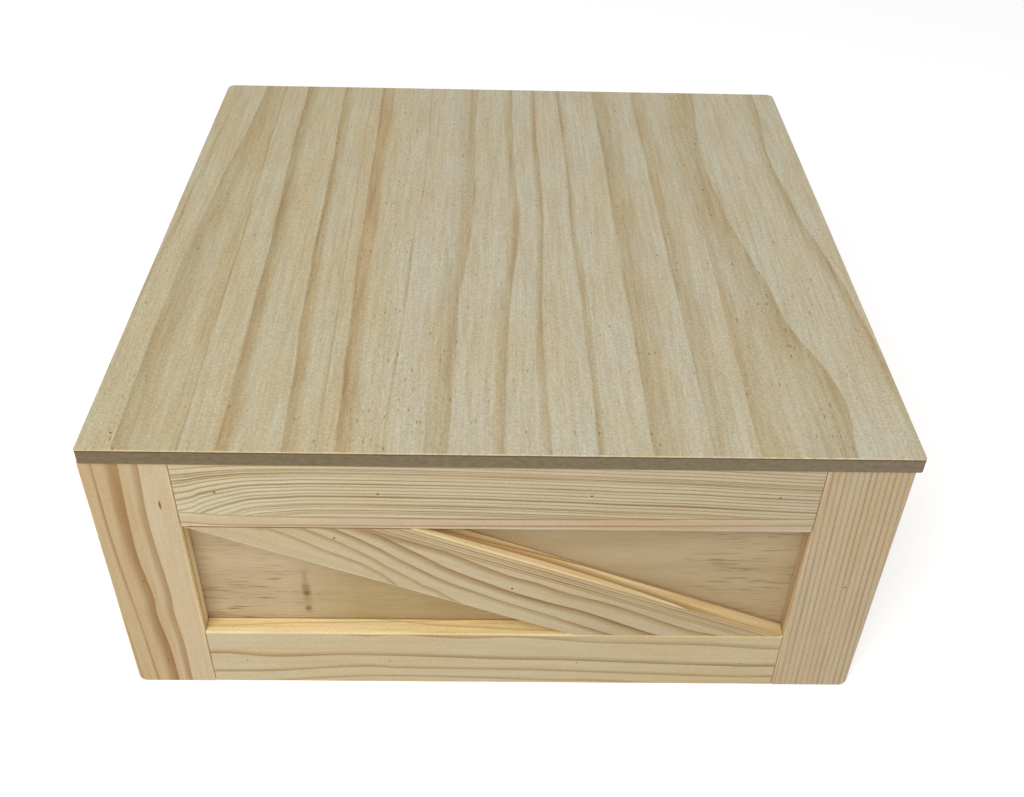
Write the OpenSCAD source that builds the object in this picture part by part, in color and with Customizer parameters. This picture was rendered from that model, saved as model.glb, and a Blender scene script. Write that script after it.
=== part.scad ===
// Wooden keepsake box: a pinned plywood carcass dressed with pine strips, under a hinged, veneered lid.
// Sizes are in millimetres. The origin is the middle of the underside, +X is right, +Y is back and +Z is up.

/* [Body] */
// Width over the strips
body_w = 300; // [250:1:400]
// Depth over the strips
body_d = 300; // [250:1:400]
// Height of the body without the lid
body_h = 125; // [110:1:180]
// Rounding of the four upright corners
corner_r = 1; // [0.5:0.5:5]

/* [Carcass] */
// Thickness of the plywood walls
panel_t = 6; // [4:0.5:9]
// Thickness of the plywood bottom
bottom_t = 6; // [4:0.5:9]

/* [Strips] */
// Width of the pine strips
strip_w = 32; // [26:1:38]
// Thickness of the pine strips, which is also the depth of the recesses
strip_t = 8; // [6:0.5:12]
// Width of the diagonal brace on the front
brace_w = 33; // [26:1:40]

/* [Lid] */
// Thickness of the fibreboard core
lid_core_t = 5.6; // [4:0.1:12]
// Thickness of the veneer on each face of the core
veneer_t = 0.5; // [0.3:0.1:1]
// How far the lid stands out at the front and at the sides
lid_overhang = 0.6; // [0:0.1:4]
// How far the lid sits to the right of the middle
lid_shift = 1.3; // [-2:0.1:2]
// Rounding of the lid's two front corners
lid_front_corner_r = 1; // [0.5:0.5:6]
// Rounding of the lid's two back corners
lid_back_corner_r = 3.5; // [0.5:0.5:6]

/* [Hinges] */
// Length of a hinge
hinge_l = 30; // [24:1:40]
// Distance from an end of the back top rail to the nearest hinge
hinge_inset = 18; // [8:1:30]
// Thickness of a leaf
leaf_t = 1; // [0.8:0.1:1.4]
// Gap between the two leaves of a closed hinge
leaf_gap = 0.2; // [0.1:0.05:0.4]
// Wall left between a leaf and the inside of the box
leaf_margin = 3; // [1:0.5:5]
// Outer radius of the knuckles
knuckle_r = 2; // [1.8:0.1:3]
// Gap between the knuckles and the back of the box
knuckle_stand_off = 0.6; // [0.4:0.1:2]
// Radius of the hinge pin
hinge_pin_r = 1; // [0.7:0.1:1.3]
// Radius of the hinge pin's two heads
hinge_pin_head_r = 1.6; // [1.4:0.1:1.8]
// Thickness of the hinge pin's two heads
hinge_pin_head_t = 0.6; // [0.4:0.1:1]

/* [Screws] */
// Distance between the two screws of a leaf
screw_pitch = 18; // [10:1:20]
// Radius of a screw's shank
screw_r = 0.9; // [0.7:0.1:1.1]
// Radius of a screw's countersunk head
screw_head_r = 1.9; // [1.6:0.1:2.2]
// Length of the screws in the body
body_screw_l = 10; // [6:0.5:12]
// Fibreboard left above the points of the screws in the lid
lid_screw_skin = 1.1; // [0.8:0.1:2]

/* [Brads] */
// Radius of a brad
brad_r = 0.6; // [0.4:0.05:0.8]
// Length of a brad's point
brad_point_l = 1; // [0.5:0.1:2]
// Depth of a frame brad's head below the face of its strip
brad_sink = 1; // [0.3:0.1:2]
// Plywood left behind the point of a frame brad
brad_skin = 1; // [0.5:0.1:2]
// Distance of a rail's brads from its outer edge
rail_brad_inset = 14; // [8:1:18]
// Distance of a rail's two outer brads from its ends
rail_brad_end = 15; // [8:1:30]
// Distance between a rail's two inner brads
rail_brad_gap = 78; // [40:1:90]
// How far a rail's two inner brads sit off its middle
rail_brad_jog = 5; // [0:1:10]
// Distance of a stile's brad from the end of the plywood behind it
stile_brad_inset = 5; // [3:0.5:12]
// Distance of the brace's first brad from the brace's upper end
brace_brad_first = 14; // [8:1:30]
// Distance of the brace's second brad from the brace's upper end
brace_brad_second = 87; // [60:1:100]
// Length of the brads that join the carcass
carcass_brad_l = 16; // [12:1:25]
// Distance of the corner brads from the top and the bottom of the carcass
corner_brad_inset = 30; // [24:1:40]
// Distance of the outer brads of the bottom from its edges
bottom_brad_end = 46; // [20:1:60]

/* [Fits] */
// Radial clearance of a brad or a screw in its hole
driven_clear = 0.05; // [0.02:0.01:0.1]
// Clearance past the point of a brad
point_clear = 0.1; // [0.05:0.05:0.3]
// Radial clearance of the hinge pin in the fixed knuckles
pin_hold_clear = 0.03; // [0.01:0.01:0.05]
// Radial clearance of the hinge pin in the moving knuckle
pin_turn_clear = 0.05; // [0.03:0.01:0.1]
// Gap between the knuckles of the two leaves
knuckle_gap = 0.3; // [0.2:0.05:0.6]
// Gap between a leaf and the walls of its mortise
mortise_clear = 0.2; // [0.1:0.05:0.5]

/* [Hidden] */
$fn = 48;

// Cuts run this far past the faces that they open
cut = 0.5;

// The four sides, each a quarter turn on from the one before
FRONT = "front";
RIGHT = "right";
BACK = "back";
LEFT = "left";
function quarter_turns(side) = side == FRONT ? 0 : side == RIGHT ? 1 : side == BACK ? 2 : 3;
function is_long(side) = side == FRONT || side == BACK;

// The two ends of a side, seen from outside it
LEFT_END = "left end";
RIGHT_END = "right end";
function end_sign(end) = end == LEFT_END ? -1 : 1;

// Half sizes of the carcass outside and of the space inside it
shell_x = body_w / 2 - strip_t;
shell_y = body_d / 2 - strip_t;
inner_x = shell_x - panel_t;
inner_y = shell_y - panel_t;

// Depth below a strip's face at which a frame brad ends
wall_t = strip_t + panel_t;
frame_brad_end = wall_t - brad_skin;

// The blunt ends of the points of brads and screws
brad_tip_r = brad_r / 4;
screw_tip_r = screw_r / 4;

// The front and back frames reach the outer corners, and the side frames stand between them
function frame_half(side) = is_long(side) ? body_w / 2 : shell_y;
function side_depth(side) = is_long(side) ? body_d : body_w;
function rail_half(side) = frame_half(side) - strip_w;
function panel_half(side) = is_long(side) ? shell_x : inner_y;
function inner_half(side) = is_long(side) ? inner_x : inner_y;

// The brace's long edges run from corner to corner of the front opening
opening_w = 2 * rail_half(FRONT);
opening_h = body_h - 2 * strip_w;
opening_diagonal = sqrt(opening_w ^ 2 + opening_h ^ 2);
brace_angle = atan2(opening_h, opening_w) + asin(brace_w / opening_diagonal);
brace_cut_l = brace_w / sin(brace_angle);
brace_top_z = body_h - strip_w;
brace_top_x = (brace_cut_l - opening_w) / 2;

// Places of the brads on a side: the distance to the right of its middle, and the height
function rail_brad_x(side) =
    let (outer = rail_half(side) - rail_brad_end, inner = rail_brad_gap / 2)
    [-outer, -inner - rail_brad_jog, inner - rail_brad_jog, outer];
function rail_brads(side, height) = [for (x = rail_brad_x(side)) [x, height]];
function stile_brad(side, end) = [end_sign(end) * (panel_half(side) - stile_brad_inset), body_h / 2];
top_brad_z = body_h - rail_brad_inset;
bottom_brad_z = rail_brad_inset;
brace_brads = [
    for (along = [brace_brad_first, brace_brad_second])
        [brace_top_x + along * cos(brace_angle), brace_top_z - along * sin(brace_angle)]
];
function frame_brads(side) = concat(
    rail_brads(side, top_brad_z),
    rail_brads(side, bottom_brad_z),
    [stile_brad(side, LEFT_END), stile_brad(side, RIGHT_END)],
    side == FRONT ? brace_brads : []
);
corner_brad_x = shell_x - panel_t / 2;
corner_brad_heights = [corner_brad_inset, body_h - corner_brad_inset];
corner_brads = [for (x = [-corner_brad_x, corner_brad_x], z = corner_brad_heights) [x, z]];
function bottom_brads(side) =
    let (outer = inner_half(side) - bottom_brad_end)
    [for (x = [-outer, 0, outer]) [x, bottom_t / 2]];

// The hinges lie in mortises in the back wall, with their axis behind it
hinge_x = rail_half(BACK) - hinge_inset - hinge_l / 2;
hinge_y = body_d / 2 + knuckle_stand_off + knuckle_r;
hinge_z = body_h - leaf_t - leaf_gap / 2;
knuckle_l = hinge_l / 3;
leaf_end_y = body_d / 2 - wall_t + leaf_margin;
mortise_depth = 2 * leaf_t + leaf_gap;

// The screws stand in the middle of the back strip
screw_y = body_d / 2 - strip_t / 2;
screw_x = [for (side = [-1, 1], end = [-1, 1]) side * hinge_x + end * screw_pitch / 2];
screw_head_h = screw_head_r - screw_r;
screw_point_l = 2 * screw_r;
lid_screw_l = leaf_t + veneer_t + lid_core_t - lid_screw_skin;

// The lid's layers, from its underside up
lid_w = body_w + 2 * lid_overhang;
lid_d = body_d + lid_overhang;
core_z = body_h + veneer_t;
top_veneer_z = core_z + lid_core_t;

// Turns a side to its place: X to the right as seen from outside, Y inwards from the strips' face
module at_side(side) {
    rotate([0, 0, 90 * quarter_turns(side)])
        translate([0, -side_depth(side) / 2, 0])
            children();
}

// A pointed brad along Y, with its head at the origin
module brad(length) {
    profile = [[0, 0], [brad_r, 0], [brad_r, length - brad_point_l], [brad_tip_r, length], [0, length]];
    rotate([-90, 0, 0]) rotate_extrude() polygon(profile);
}

// A row of brads on a side, from one depth to another
module brad_row(places, from, to) {
    for (place = places)
        translate([place[0], from, place[1]])
            brad(to - from);
}

// Round holes for a row of brads on a side, from one depth to another
module brad_holes(places, from, to) {
    for (place = places)
        translate([place[0], from, place[1]])
            rotate([-90, 0, 0])
                cylinder(r = brad_r + driven_clear, h = to - from);
}

// A square outline's corner at the origin, filled outside its rounding
module corner_waste(radius) {
    difference() {
        translate([-cut, -cut]) square(radius + cut);
        translate([radius, radius]) circle(radius);
    }
}

// The plywood wall of a side, drilled for the brads of its frame and of the bottom
module wall_panel(side) {
    half = panel_half(side);
    difference() {
        translate([-half, strip_t, 0]) cube([2 * half, panel_t, body_h]);
        brad_holes(frame_brads(side), strip_t - cut, frame_brad_end + point_clear);
        brad_holes(bottom_brads(side), strip_t - cut, wall_t + cut);
    }
}

// A long wall, front or back, which covers the ends of the side walls
module long_panel(side) {
    at_side(side)
        difference() {
            wall_panel(side);
            brad_holes(corner_brads, strip_t - cut, wall_t + cut);
        }
}

// A side wall, drilled in its ends for the corner brads
module short_panel(side) {
    drilled = carcass_brad_l - panel_t + point_clear;
    at_side(side)
        difference() {
            wall_panel(side);
            for (sign = [-1, 1], z = corner_brad_heights)
                translate([sign * (inner_y + cut), strip_t + panel_t / 2, z])
                    rotate([0, -90 * sign, 0])
                        cylinder(r = brad_r + driven_clear, h = drilled + cut);
        }
}

// A stile whose outer edge is a rounded corner of the box
module corner_stile(side, end) {
    half = frame_half(side);
    at_side(side)
        difference() {
            mirror([end == LEFT_END ? 1 : 0, 0, 0])
                linear_extrude(body_h)
                    difference() {
                        translate([half - strip_w, 0]) square([strip_w, strip_t]);
                        translate([half, 0]) mirror([1, 0]) corner_waste(corner_r);
                    }
            brad_holes([stile_brad(side, end)], -cut, strip_t + cut);
        }
}

// A square-edged stile between the front and back frames
module plain_stile(side, end) {
    middle = end_sign(end) * (frame_half(side) - strip_w / 2);
    at_side(side)
        difference() {
            translate([middle - strip_w / 2, 0, 0]) cube([strip_w, strip_t, body_h]);
            brad_holes([stile_brad(side, end)], -cut, strip_t + cut);
        }
}

// A rail between two stiles, with its brads at the given height
module rail(side, base_z, brad_z) {
    half = rail_half(side);
    at_side(side)
        difference() {
            translate([-half, 0, base_z]) cube([2 * half, strip_t, strip_w]);
            brad_holes(rail_brads(side, brad_z), -cut, strip_t + cut);
        }
}

module top_rail(side) {
    rail(side, body_h - strip_w, top_brad_z);
}

module bottom_rail(side) {
    rail(side, 0, bottom_brad_z);
}

// All the brads of a side's frame
module frame_pins(side) {
    at_side(side) brad_row(frame_brads(side), brad_sink, frame_brad_end);
}

// A countersunk screw that points up from its head's face, or the space for it where grow is its clearance
module screw(length, grow = 0) {
    end = length + grow;
    profile = [
        [0, 0],
        [screw_head_r + grow, 0],
        [screw_r + grow, screw_head_h],
        [screw_r + grow, length - screw_point_l],
        [screw_tip_r + grow, end],
        [0, end]
    ];
    rotate_extrude() polygon(profile);
}

// The screws through the fixed leaves, from the faces that the moving leaves close on
module body_screws(grow = 0) {
    for (x = screw_x)
        translate([x, screw_y, hinge_z - leaf_gap / 2])
            mirror([0, 0, 1])
                screw(body_screw_l, grow);
}

// The screws through the moving leaves
module lid_screws(grow = 0) {
    for (x = screw_x)
        translate([x, screw_y, hinge_z + leaf_gap / 2])
            screw(lid_screw_l, grow);
}

// The mortises for both leaves of both hinges, cut into the top of the back wall
module mortises() {
    back_y = leaf_end_y - mortise_clear;
    for (side = [-1, 1])
        translate([side * hinge_x - hinge_l / 2 - mortise_clear, back_y, body_h - mortise_depth])
            cube([hinge_l + 2 * mortise_clear, body_d / 2 - back_y + cut, mortise_depth + cut]);
}

// A stretch of knuckle, or of the space for it, along the hinge's axis
module along_axis(from, to, radius) {
    translate([from, 0, 0])
        rotate([0, 90, 0])
            cylinder(r = radius, h = to - from);
}

// A leaf's plate, whose lower face is at base_z, notched where the other leaf's knuckles turn
module leaf_plate(base_z, notches) {
    reach = hinge_y - leaf_end_y;
    room = knuckle_r + knuckle_gap;
    difference() {
        translate([-hinge_l / 2, -reach, base_z]) cube([hinge_l, reach, leaf_t]);
        for (notch = notches)
            translate([notch[0], -room, base_z - cut])
                cube([notch[1] - notch[0], room + cut, leaf_t + 2 * cut]);
    }
}

// A leaf that is bored for the hinge pin, with knuckles on the given stretches of its axis
module hinge_leaf(side, base_z, knuckles, notches, bore_clear) {
    translate([side * hinge_x, hinge_y, hinge_z])
        difference() {
            union() {
                leaf_plate(base_z, notches);
                for (knuckle = knuckles)
                    along_axis(knuckle[0], knuckle[1], knuckle_r);
            }
            along_axis(-hinge_l / 2 - cut, hinge_l / 2 + cut, hinge_pin_r + bore_clear);
        }
}

// The leaf in the back wall has the two outer knuckles
module fixed_leaf(side) {
    inner = (knuckle_l + knuckle_gap) / 2;
    outer = hinge_l / 2;
    color("goldenrod")
        difference() {
            hinge_leaf(side, -leaf_gap / 2 - leaf_t, [[-outer, -inner], [inner, outer]], [[-inner, inner]],
                pin_hold_clear);
            body_screws(driven_clear);
        }
}

// The leaf under the lid has the middle knuckle
module moving_leaf(side) {
    inner = (knuckle_l - knuckle_gap) / 2;
    outer = hinge_l / 2 + cut;
    color("goldenrod")
        difference() {
            hinge_leaf(side, leaf_gap / 2, [[-inner, inner]], [[-outer, -inner], [inner, outer]], pin_turn_clear);
            lid_screws(driven_clear);
        }
}

// The headed pin that both leaves turn on
module hinge_pin(side) {
    end = hinge_l / 2;
    color("darkgoldenrod")
        translate([side * hinge_x, hinge_y, hinge_z]) {
            along_axis(-end - hinge_pin_head_t, end + hinge_pin_head_t, hinge_pin_r);
            along_axis(-end - hinge_pin_head_t, -end, hinge_pin_head_r);
            along_axis(end, end + hinge_pin_head_t, hinge_pin_head_r);
        }
}

// One layer of the lid, flush with the back of the body
module lid_layer(base_z, thickness) {
    translate([lid_shift, body_d / 2 - lid_d / 2, base_z])
        linear_extrude(thickness)
            difference() {
                square([lid_w, lid_d], center = true);
                for (x = [0, 1], end = [[0, lid_front_corner_r], [1, lid_back_corner_r]])
                    mirror([x, 0]) mirror([0, end[0]])
                        translate([-lid_w / 2, -lid_d / 2]) corner_waste(end[1]);
            }
}

module front_panel() { color("burlywood") long_panel(FRONT); }
module left_panel() { color("burlywood") short_panel(LEFT); }
module right_panel() { color("burlywood") short_panel(RIGHT); }

module back_panel() {
    color("burlywood")
        difference() {
            long_panel(BACK);
            mortises();
        }
}

module bottom_panel() {
    color("burlywood")
        difference() {
            translate([-inner_x, -inner_y, 0]) cube([2 * inner_x, 2 * inner_y, bottom_t]);
            for (side = [FRONT, RIGHT, BACK, LEFT])
                at_side(side)
                    brad_holes(bottom_brads(side), strip_t, strip_t + carcass_brad_l + point_clear);
        }
}

module front_left_stile() { color("wheat") corner_stile(FRONT, LEFT_END); }
module front_right_stile() { color("wheat") corner_stile(FRONT, RIGHT_END); }
module front_top_rail() { color("wheat") top_rail(FRONT); }
module front_bottom_rail() { color("wheat") bottom_rail(FRONT); }

module front_brace() {
    left = -opening_w / 2;
    right = opening_w / 2;
    outline = [
        [left, brace_top_z],
        [right - brace_cut_l, strip_w],
        [right, strip_w],
        [left + brace_cut_l, brace_top_z]
    ];
    color("wheat")
        at_side(FRONT)
            difference() {
                translate([0, strip_t, 0])
                    rotate([90, 0, 0])
                        linear_extrude(strip_t)
                            polygon(outline);
                brad_holes(brace_brads, -cut, strip_t + cut);
            }
}

module back_left_stile() { color("wheat") corner_stile(BACK, RIGHT_END); }
module back_right_stile() { color("wheat") corner_stile(BACK, LEFT_END); }
module back_bottom_rail() { color("wheat") bottom_rail(BACK); }

module back_top_rail() {
    color("wheat")
        difference() {
            top_rail(BACK);
            mortises();
            body_screws(driven_clear);
        }
}

module left_front_stile() { color("wheat") plain_stile(LEFT, RIGHT_END); }
module left_back_stile() { color("wheat") plain_stile(LEFT, LEFT_END); }
module left_top_rail() { color("wheat") top_rail(LEFT); }
module left_bottom_rail() { color("wheat") bottom_rail(LEFT); }

module right_front_stile() { color("wheat") plain_stile(RIGHT, LEFT_END); }
module right_back_stile() { color("wheat") plain_stile(RIGHT, RIGHT_END); }
module right_top_rail() { color("wheat") top_rail(RIGHT); }
module right_bottom_rail() { color("wheat") bottom_rail(RIGHT); }

module front_frame_pins() { color("dimgray") frame_pins(FRONT); }
module back_frame_pins() { color("dimgray") frame_pins(BACK); }
module left_frame_pins() { color("dimgray") frame_pins(LEFT); }
module right_frame_pins() { color("dimgray") frame_pins(RIGHT); }

module corner_pins() {
    color("dimgray")
        for (side = [FRONT, BACK])
            at_side(side) brad_row(corner_brads, strip_t, strip_t + carcass_brad_l);
}

module bottom_pins() {
    color("dimgray")
        for (side = [FRONT, RIGHT, BACK, LEFT])
            at_side(side) brad_row(bottom_brads(side), strip_t, strip_t + carcass_brad_l);
}

module left_hinge_fixed_leaf() { fixed_leaf(-1); }
module left_hinge_moving_leaf() { moving_leaf(-1); }
module left_hinge_pin() { hinge_pin(-1); }
module right_hinge_fixed_leaf() { fixed_leaf(1); }
module right_hinge_moving_leaf() { moving_leaf(1); }
module right_hinge_pin() { hinge_pin(1); }
module hinge_body_screws() { color("gold") body_screws(); }
module hinge_lid_screws() { color("gold") lid_screws(); }

module lid_core() {
    color("rosybrown")
        difference() {
            lid_layer(core_z, lid_core_t);
            lid_screws(driven_clear);
        }
}

module lid_top_veneer() { color("tan") lid_layer(top_veneer_z, veneer_t); }

module lid_bottom_veneer() {
    color("tan")
        difference() {
            lid_layer(body_h, veneer_t);
            lid_screws(driven_clear);
        }
}

front_panel();
back_panel();
left_panel();
right_panel();
bottom_panel();
front_left_stile();
front_right_stile();
front_top_rail();
front_bottom_rail();
front_brace();
back_left_stile();
back_right_stile();
back_top_rail();
back_bottom_rail();
left_front_stile();
left_back_stile();
left_top_rail();
left_bottom_rail();
right_front_stile();
right_back_stile();
right_top_rail();
right_bottom_rail();
front_frame_pins();
back_frame_pins();
left_frame_pins();
right_frame_pins();
corner_pins();
bottom_pins();
left_hinge_fixed_leaf();
left_hinge_moving_leaf();
left_hinge_pin();
right_hinge_fixed_leaf();
right_hinge_moving_leaf();
right_hinge_pin();
hinge_body_screws();
hinge_lid_screws();
lid_core();
lid_top_veneer();
lid_bottom_veneer();
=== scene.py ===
"""The looks of a wooden keepsake box: pine strips over plywood walls, under a veneered lid on brass hinges.

Strips, lid layers and screws are rebuilt as surfaces with eased edges, in the places that the frame gives.
Walls, brads, hinge leaves and hinge pins keep their solids, and every piece gets the finish of its material.
"""

import functools
import logging
import math
from dataclasses import dataclass, replace
from enum import Enum

import bpy
import numpy as np
from bpy.types import Material, Node, NodeSocket, Object, World
from mathutils import Matrix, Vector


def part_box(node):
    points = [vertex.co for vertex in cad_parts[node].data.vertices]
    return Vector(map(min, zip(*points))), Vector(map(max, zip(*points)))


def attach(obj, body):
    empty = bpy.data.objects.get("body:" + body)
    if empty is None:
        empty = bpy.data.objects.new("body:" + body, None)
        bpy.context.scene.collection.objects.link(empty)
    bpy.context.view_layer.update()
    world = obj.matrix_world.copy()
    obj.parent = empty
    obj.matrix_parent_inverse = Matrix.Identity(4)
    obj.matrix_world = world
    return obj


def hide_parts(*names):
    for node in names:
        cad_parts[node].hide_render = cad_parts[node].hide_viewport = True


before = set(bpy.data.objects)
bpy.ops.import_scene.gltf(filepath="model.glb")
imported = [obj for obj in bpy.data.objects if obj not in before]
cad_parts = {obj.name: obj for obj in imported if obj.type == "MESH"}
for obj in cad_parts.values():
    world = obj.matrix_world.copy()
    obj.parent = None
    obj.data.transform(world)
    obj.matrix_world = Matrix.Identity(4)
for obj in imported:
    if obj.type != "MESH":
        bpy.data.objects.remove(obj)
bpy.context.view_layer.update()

MM = 0.001
UP = (0.0, 0.0, 1.0)
DOWN = (0.0, 0.0, -1.0)
FULL_TURN = 2 * math.pi
QUARTER_TURN = math.pi / 2
WHITE = "#ffffff"
# How many finer layers lie on most noise.
DETAIL = 2.0

log = logging.getLogger("keepsake_box")

Pair = tuple[float, float]
Vector3 = tuple[float, float, float]
Track = tuple[Pair, ...]
Tints = tuple[tuple[float, str], ...]
Value = Node | NodeSocket | float | str | tuple


class Kind(Enum):
    """The kinds of shader node in the finishes: a node type, then the settings that make it this kind."""

    COORDINATES = "TexCoord"
    MAPPING = "Mapping vector_type TEXTURE"
    SPLIT = "SeparateXYZ"
    CHANNELS = "SeparateColor"
    PLUS = "Math operation ADD"
    MINUS = "Math operation SUBTRACT"
    TIMES = "Math operation MULTIPLY"
    OVER = "Math operation DIVIDE"
    TIMES_PLUS = "Math operation MULTIPLY_ADD"
    LARGER = "Math operation MAXIMUM"
    SMALLER = "Math operation MINIMUM"
    BELOW = "Math operation LESS_THAN"
    ABOVE = "Math operation GREATER_THAN"
    SIZE = "Math operation ABSOLUTE"
    FRACTION = "Math operation FRACT"
    WHOLE = "Math operation FLOOR"
    EACH_PLUS = "VectorMath operation ADD"
    EACH_MINUS = "VectorMath operation SUBTRACT"
    EACH_TIMES = "VectorMath operation MULTIPLY"
    EACH_TIMES_PLUS = "VectorMath operation MULTIPLY_ADD"
    SCALED = "VectorMath operation SCALE"
    LENGTH = "VectorMath operation LENGTH"
    NOISE = "TexNoise"
    STREAKS = "TexNoise noise_dimensions 4D"
    CHANCE = "TexWhiteNoise noise_dimensions 1D"
    CELLS = "TexVoronoi"
    RAMP = "ValToRGB"
    RANGE = "MapRange"
    MIX = "Mix data_type RGBA"
    TINT = "Mix data_type RGBA blend_type MULTIPLY"
    BUMP = "Bump"
    SURFACE = "BsdfPrincipled"
    DIFFUSE = "BsdfDiffuse"
    EMISSION = "Emission"
    BOTH = "AddShader"
    EITHER = "MixShader"
    RAYS = "LightPath"
    BACKGROUND = "Background"
    MATERIAL = "OutputMaterial"
    WORLD = "OutputWorld"


class Side(Enum):
    """The four sides of the box, each with the direction that it faces."""

    FRONT = (0.0, -1.0, 0.0)
    RIGHT = (1.0, 0.0, 0.0)
    BACK = (0.0, 1.0, 0.0)
    LEFT = (-1.0, 0.0, 0.0)

    @property
    def label(self) -> str:
        """The word for the side in the names of pieces."""
        return self.name.lower()

    @property
    def rightward(self) -> Vector3:
        """The direction to the right for someone who faces this side."""
        return tuple(np.cross(UP, self.value).tolist())

    @property
    def leftward(self) -> Vector3:
        """The direction to the left for someone who faces this side."""
        return tuple(np.cross(self.value, UP).tolist())


def linear(colour: str) -> tuple[float, float, float, float]:
    """Turn an sRGB colour to linear light, by the curve of that standard.

    Args:
        colour: a hash sign and six hex digits.

    Returns:
        Red, green, blue and an alpha of 1.
    """
    parts = np.array([int(colour[i:i + 2], 16) for i in (1, 3, 5)]) / 255
    light = np.where(parts <= 0.04045, parts / 12.92, ((parts + 0.055) / 1.055) ** 2.4)
    return (*light.tolist(), 1.0)


@dataclass(frozen=True)
class Lay:
    """How a piece lies: its middle in metres, the direction of its length and that of its outer face."""

    middle: Vector3
    along: Vector3
    outward: Vector3

    def axes(self) -> np.ndarray:
        """The directions along, across and outward, as the columns of a turn."""
        across = np.cross(self.outward, self.along)
        return np.column_stack([self.along, across, self.outward])

    def place(self, points: np.ndarray) -> np.ndarray:
        """Carry points given in metres along, across and outward from the middle to the frame."""
        return points @ self.axes().T + np.array(self.middle)

    def copies(self, shape: np.ndarray, middles: np.ndarray) -> np.ndarray:
        """Carry copies of a shape to the frame.

        Args:
            shape: points along, across and outward, by ring and point.
            middles: where the copies go, along, across and outward.

        Returns:
            Points in the frame, by copy, ring and point.
        """
        return self.place(middles[:, None, None, :] + shape[None])

    def read(self, points: np.ndarray) -> np.ndarray:
        """Undo place: give points of the frame along, across and outward from the middle."""
        return (points - np.array(self.middle)) @ self.axes()


@dataclass(frozen=True)
class Board:
    """How a board lies, its half sizes in millimetres, and by how much its ends slant."""

    lay: Lay
    half_length: float = 0.0
    half_width: float = 0.0
    half_thickness: float = 0.0
    slant: float = 0.0


@dataclass
class Shader:
    """The nodes of a material or of the world, in the making."""

    owner: Material | World

    def __post_init__(self) -> None:
        """Start without nodes."""
        self.owner.use_nodes = True
        self.owner.node_tree.nodes.clear()

    def add(self, kind: Kind, *inputs: Value, named: dict[str, Value] | None = None,
            stops: tuple = ()) -> Node:
        """Add a node with its settings and links.

        Args:
            kind: the kind of node.
            inputs: what its inputs take, in order: a node's first output, an output, or a constant, which may
                be a hex colour.
            named: what further inputs take, by name.
            stops: for a ramp, pairs of a place from 0 to 1 and a hex colour or a grey from 0 to 1.

        Returns:
            The node.
        """
        name, *settings = kind.value.split()
        node = self.owner.node_tree.nodes.new(f"ShaderNode{name}")
        for key, value in zip(settings[::2], settings[1::2]):
            setattr(node, key, value)
        taken = list(zip((socket for socket in node.inputs if socket.enabled), inputs))
        taken += [(node.inputs[key], value) for key, value in (named or {}).items()]
        for socket, value in taken:
            if isinstance(value, Node):
                value = next(output for output in value.outputs if output.enabled)
            if isinstance(value, NodeSocket):
                self.owner.node_tree.links.new(value, socket)
            else:
                socket.default_value = linear(value) if isinstance(value, str) else value
        for number, (place, tone) in enumerate(stops):
            elements = node.color_ramp.elements
            stop = elements[number] if number < 2 else elements.new(place)
            stop.position = place
            stop.color = linear(tone) if isinstance(tone, str) else (tone, tone, tone, 1)
        return node


@dataclass(frozen=True)
class Sheen:
    """How a surface takes light: how strongly bumps show, by how many mm they rise, and its reflections."""

    strength: float
    rise: float
    specular: float = 0.3
    metallic: float = 0.0


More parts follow.
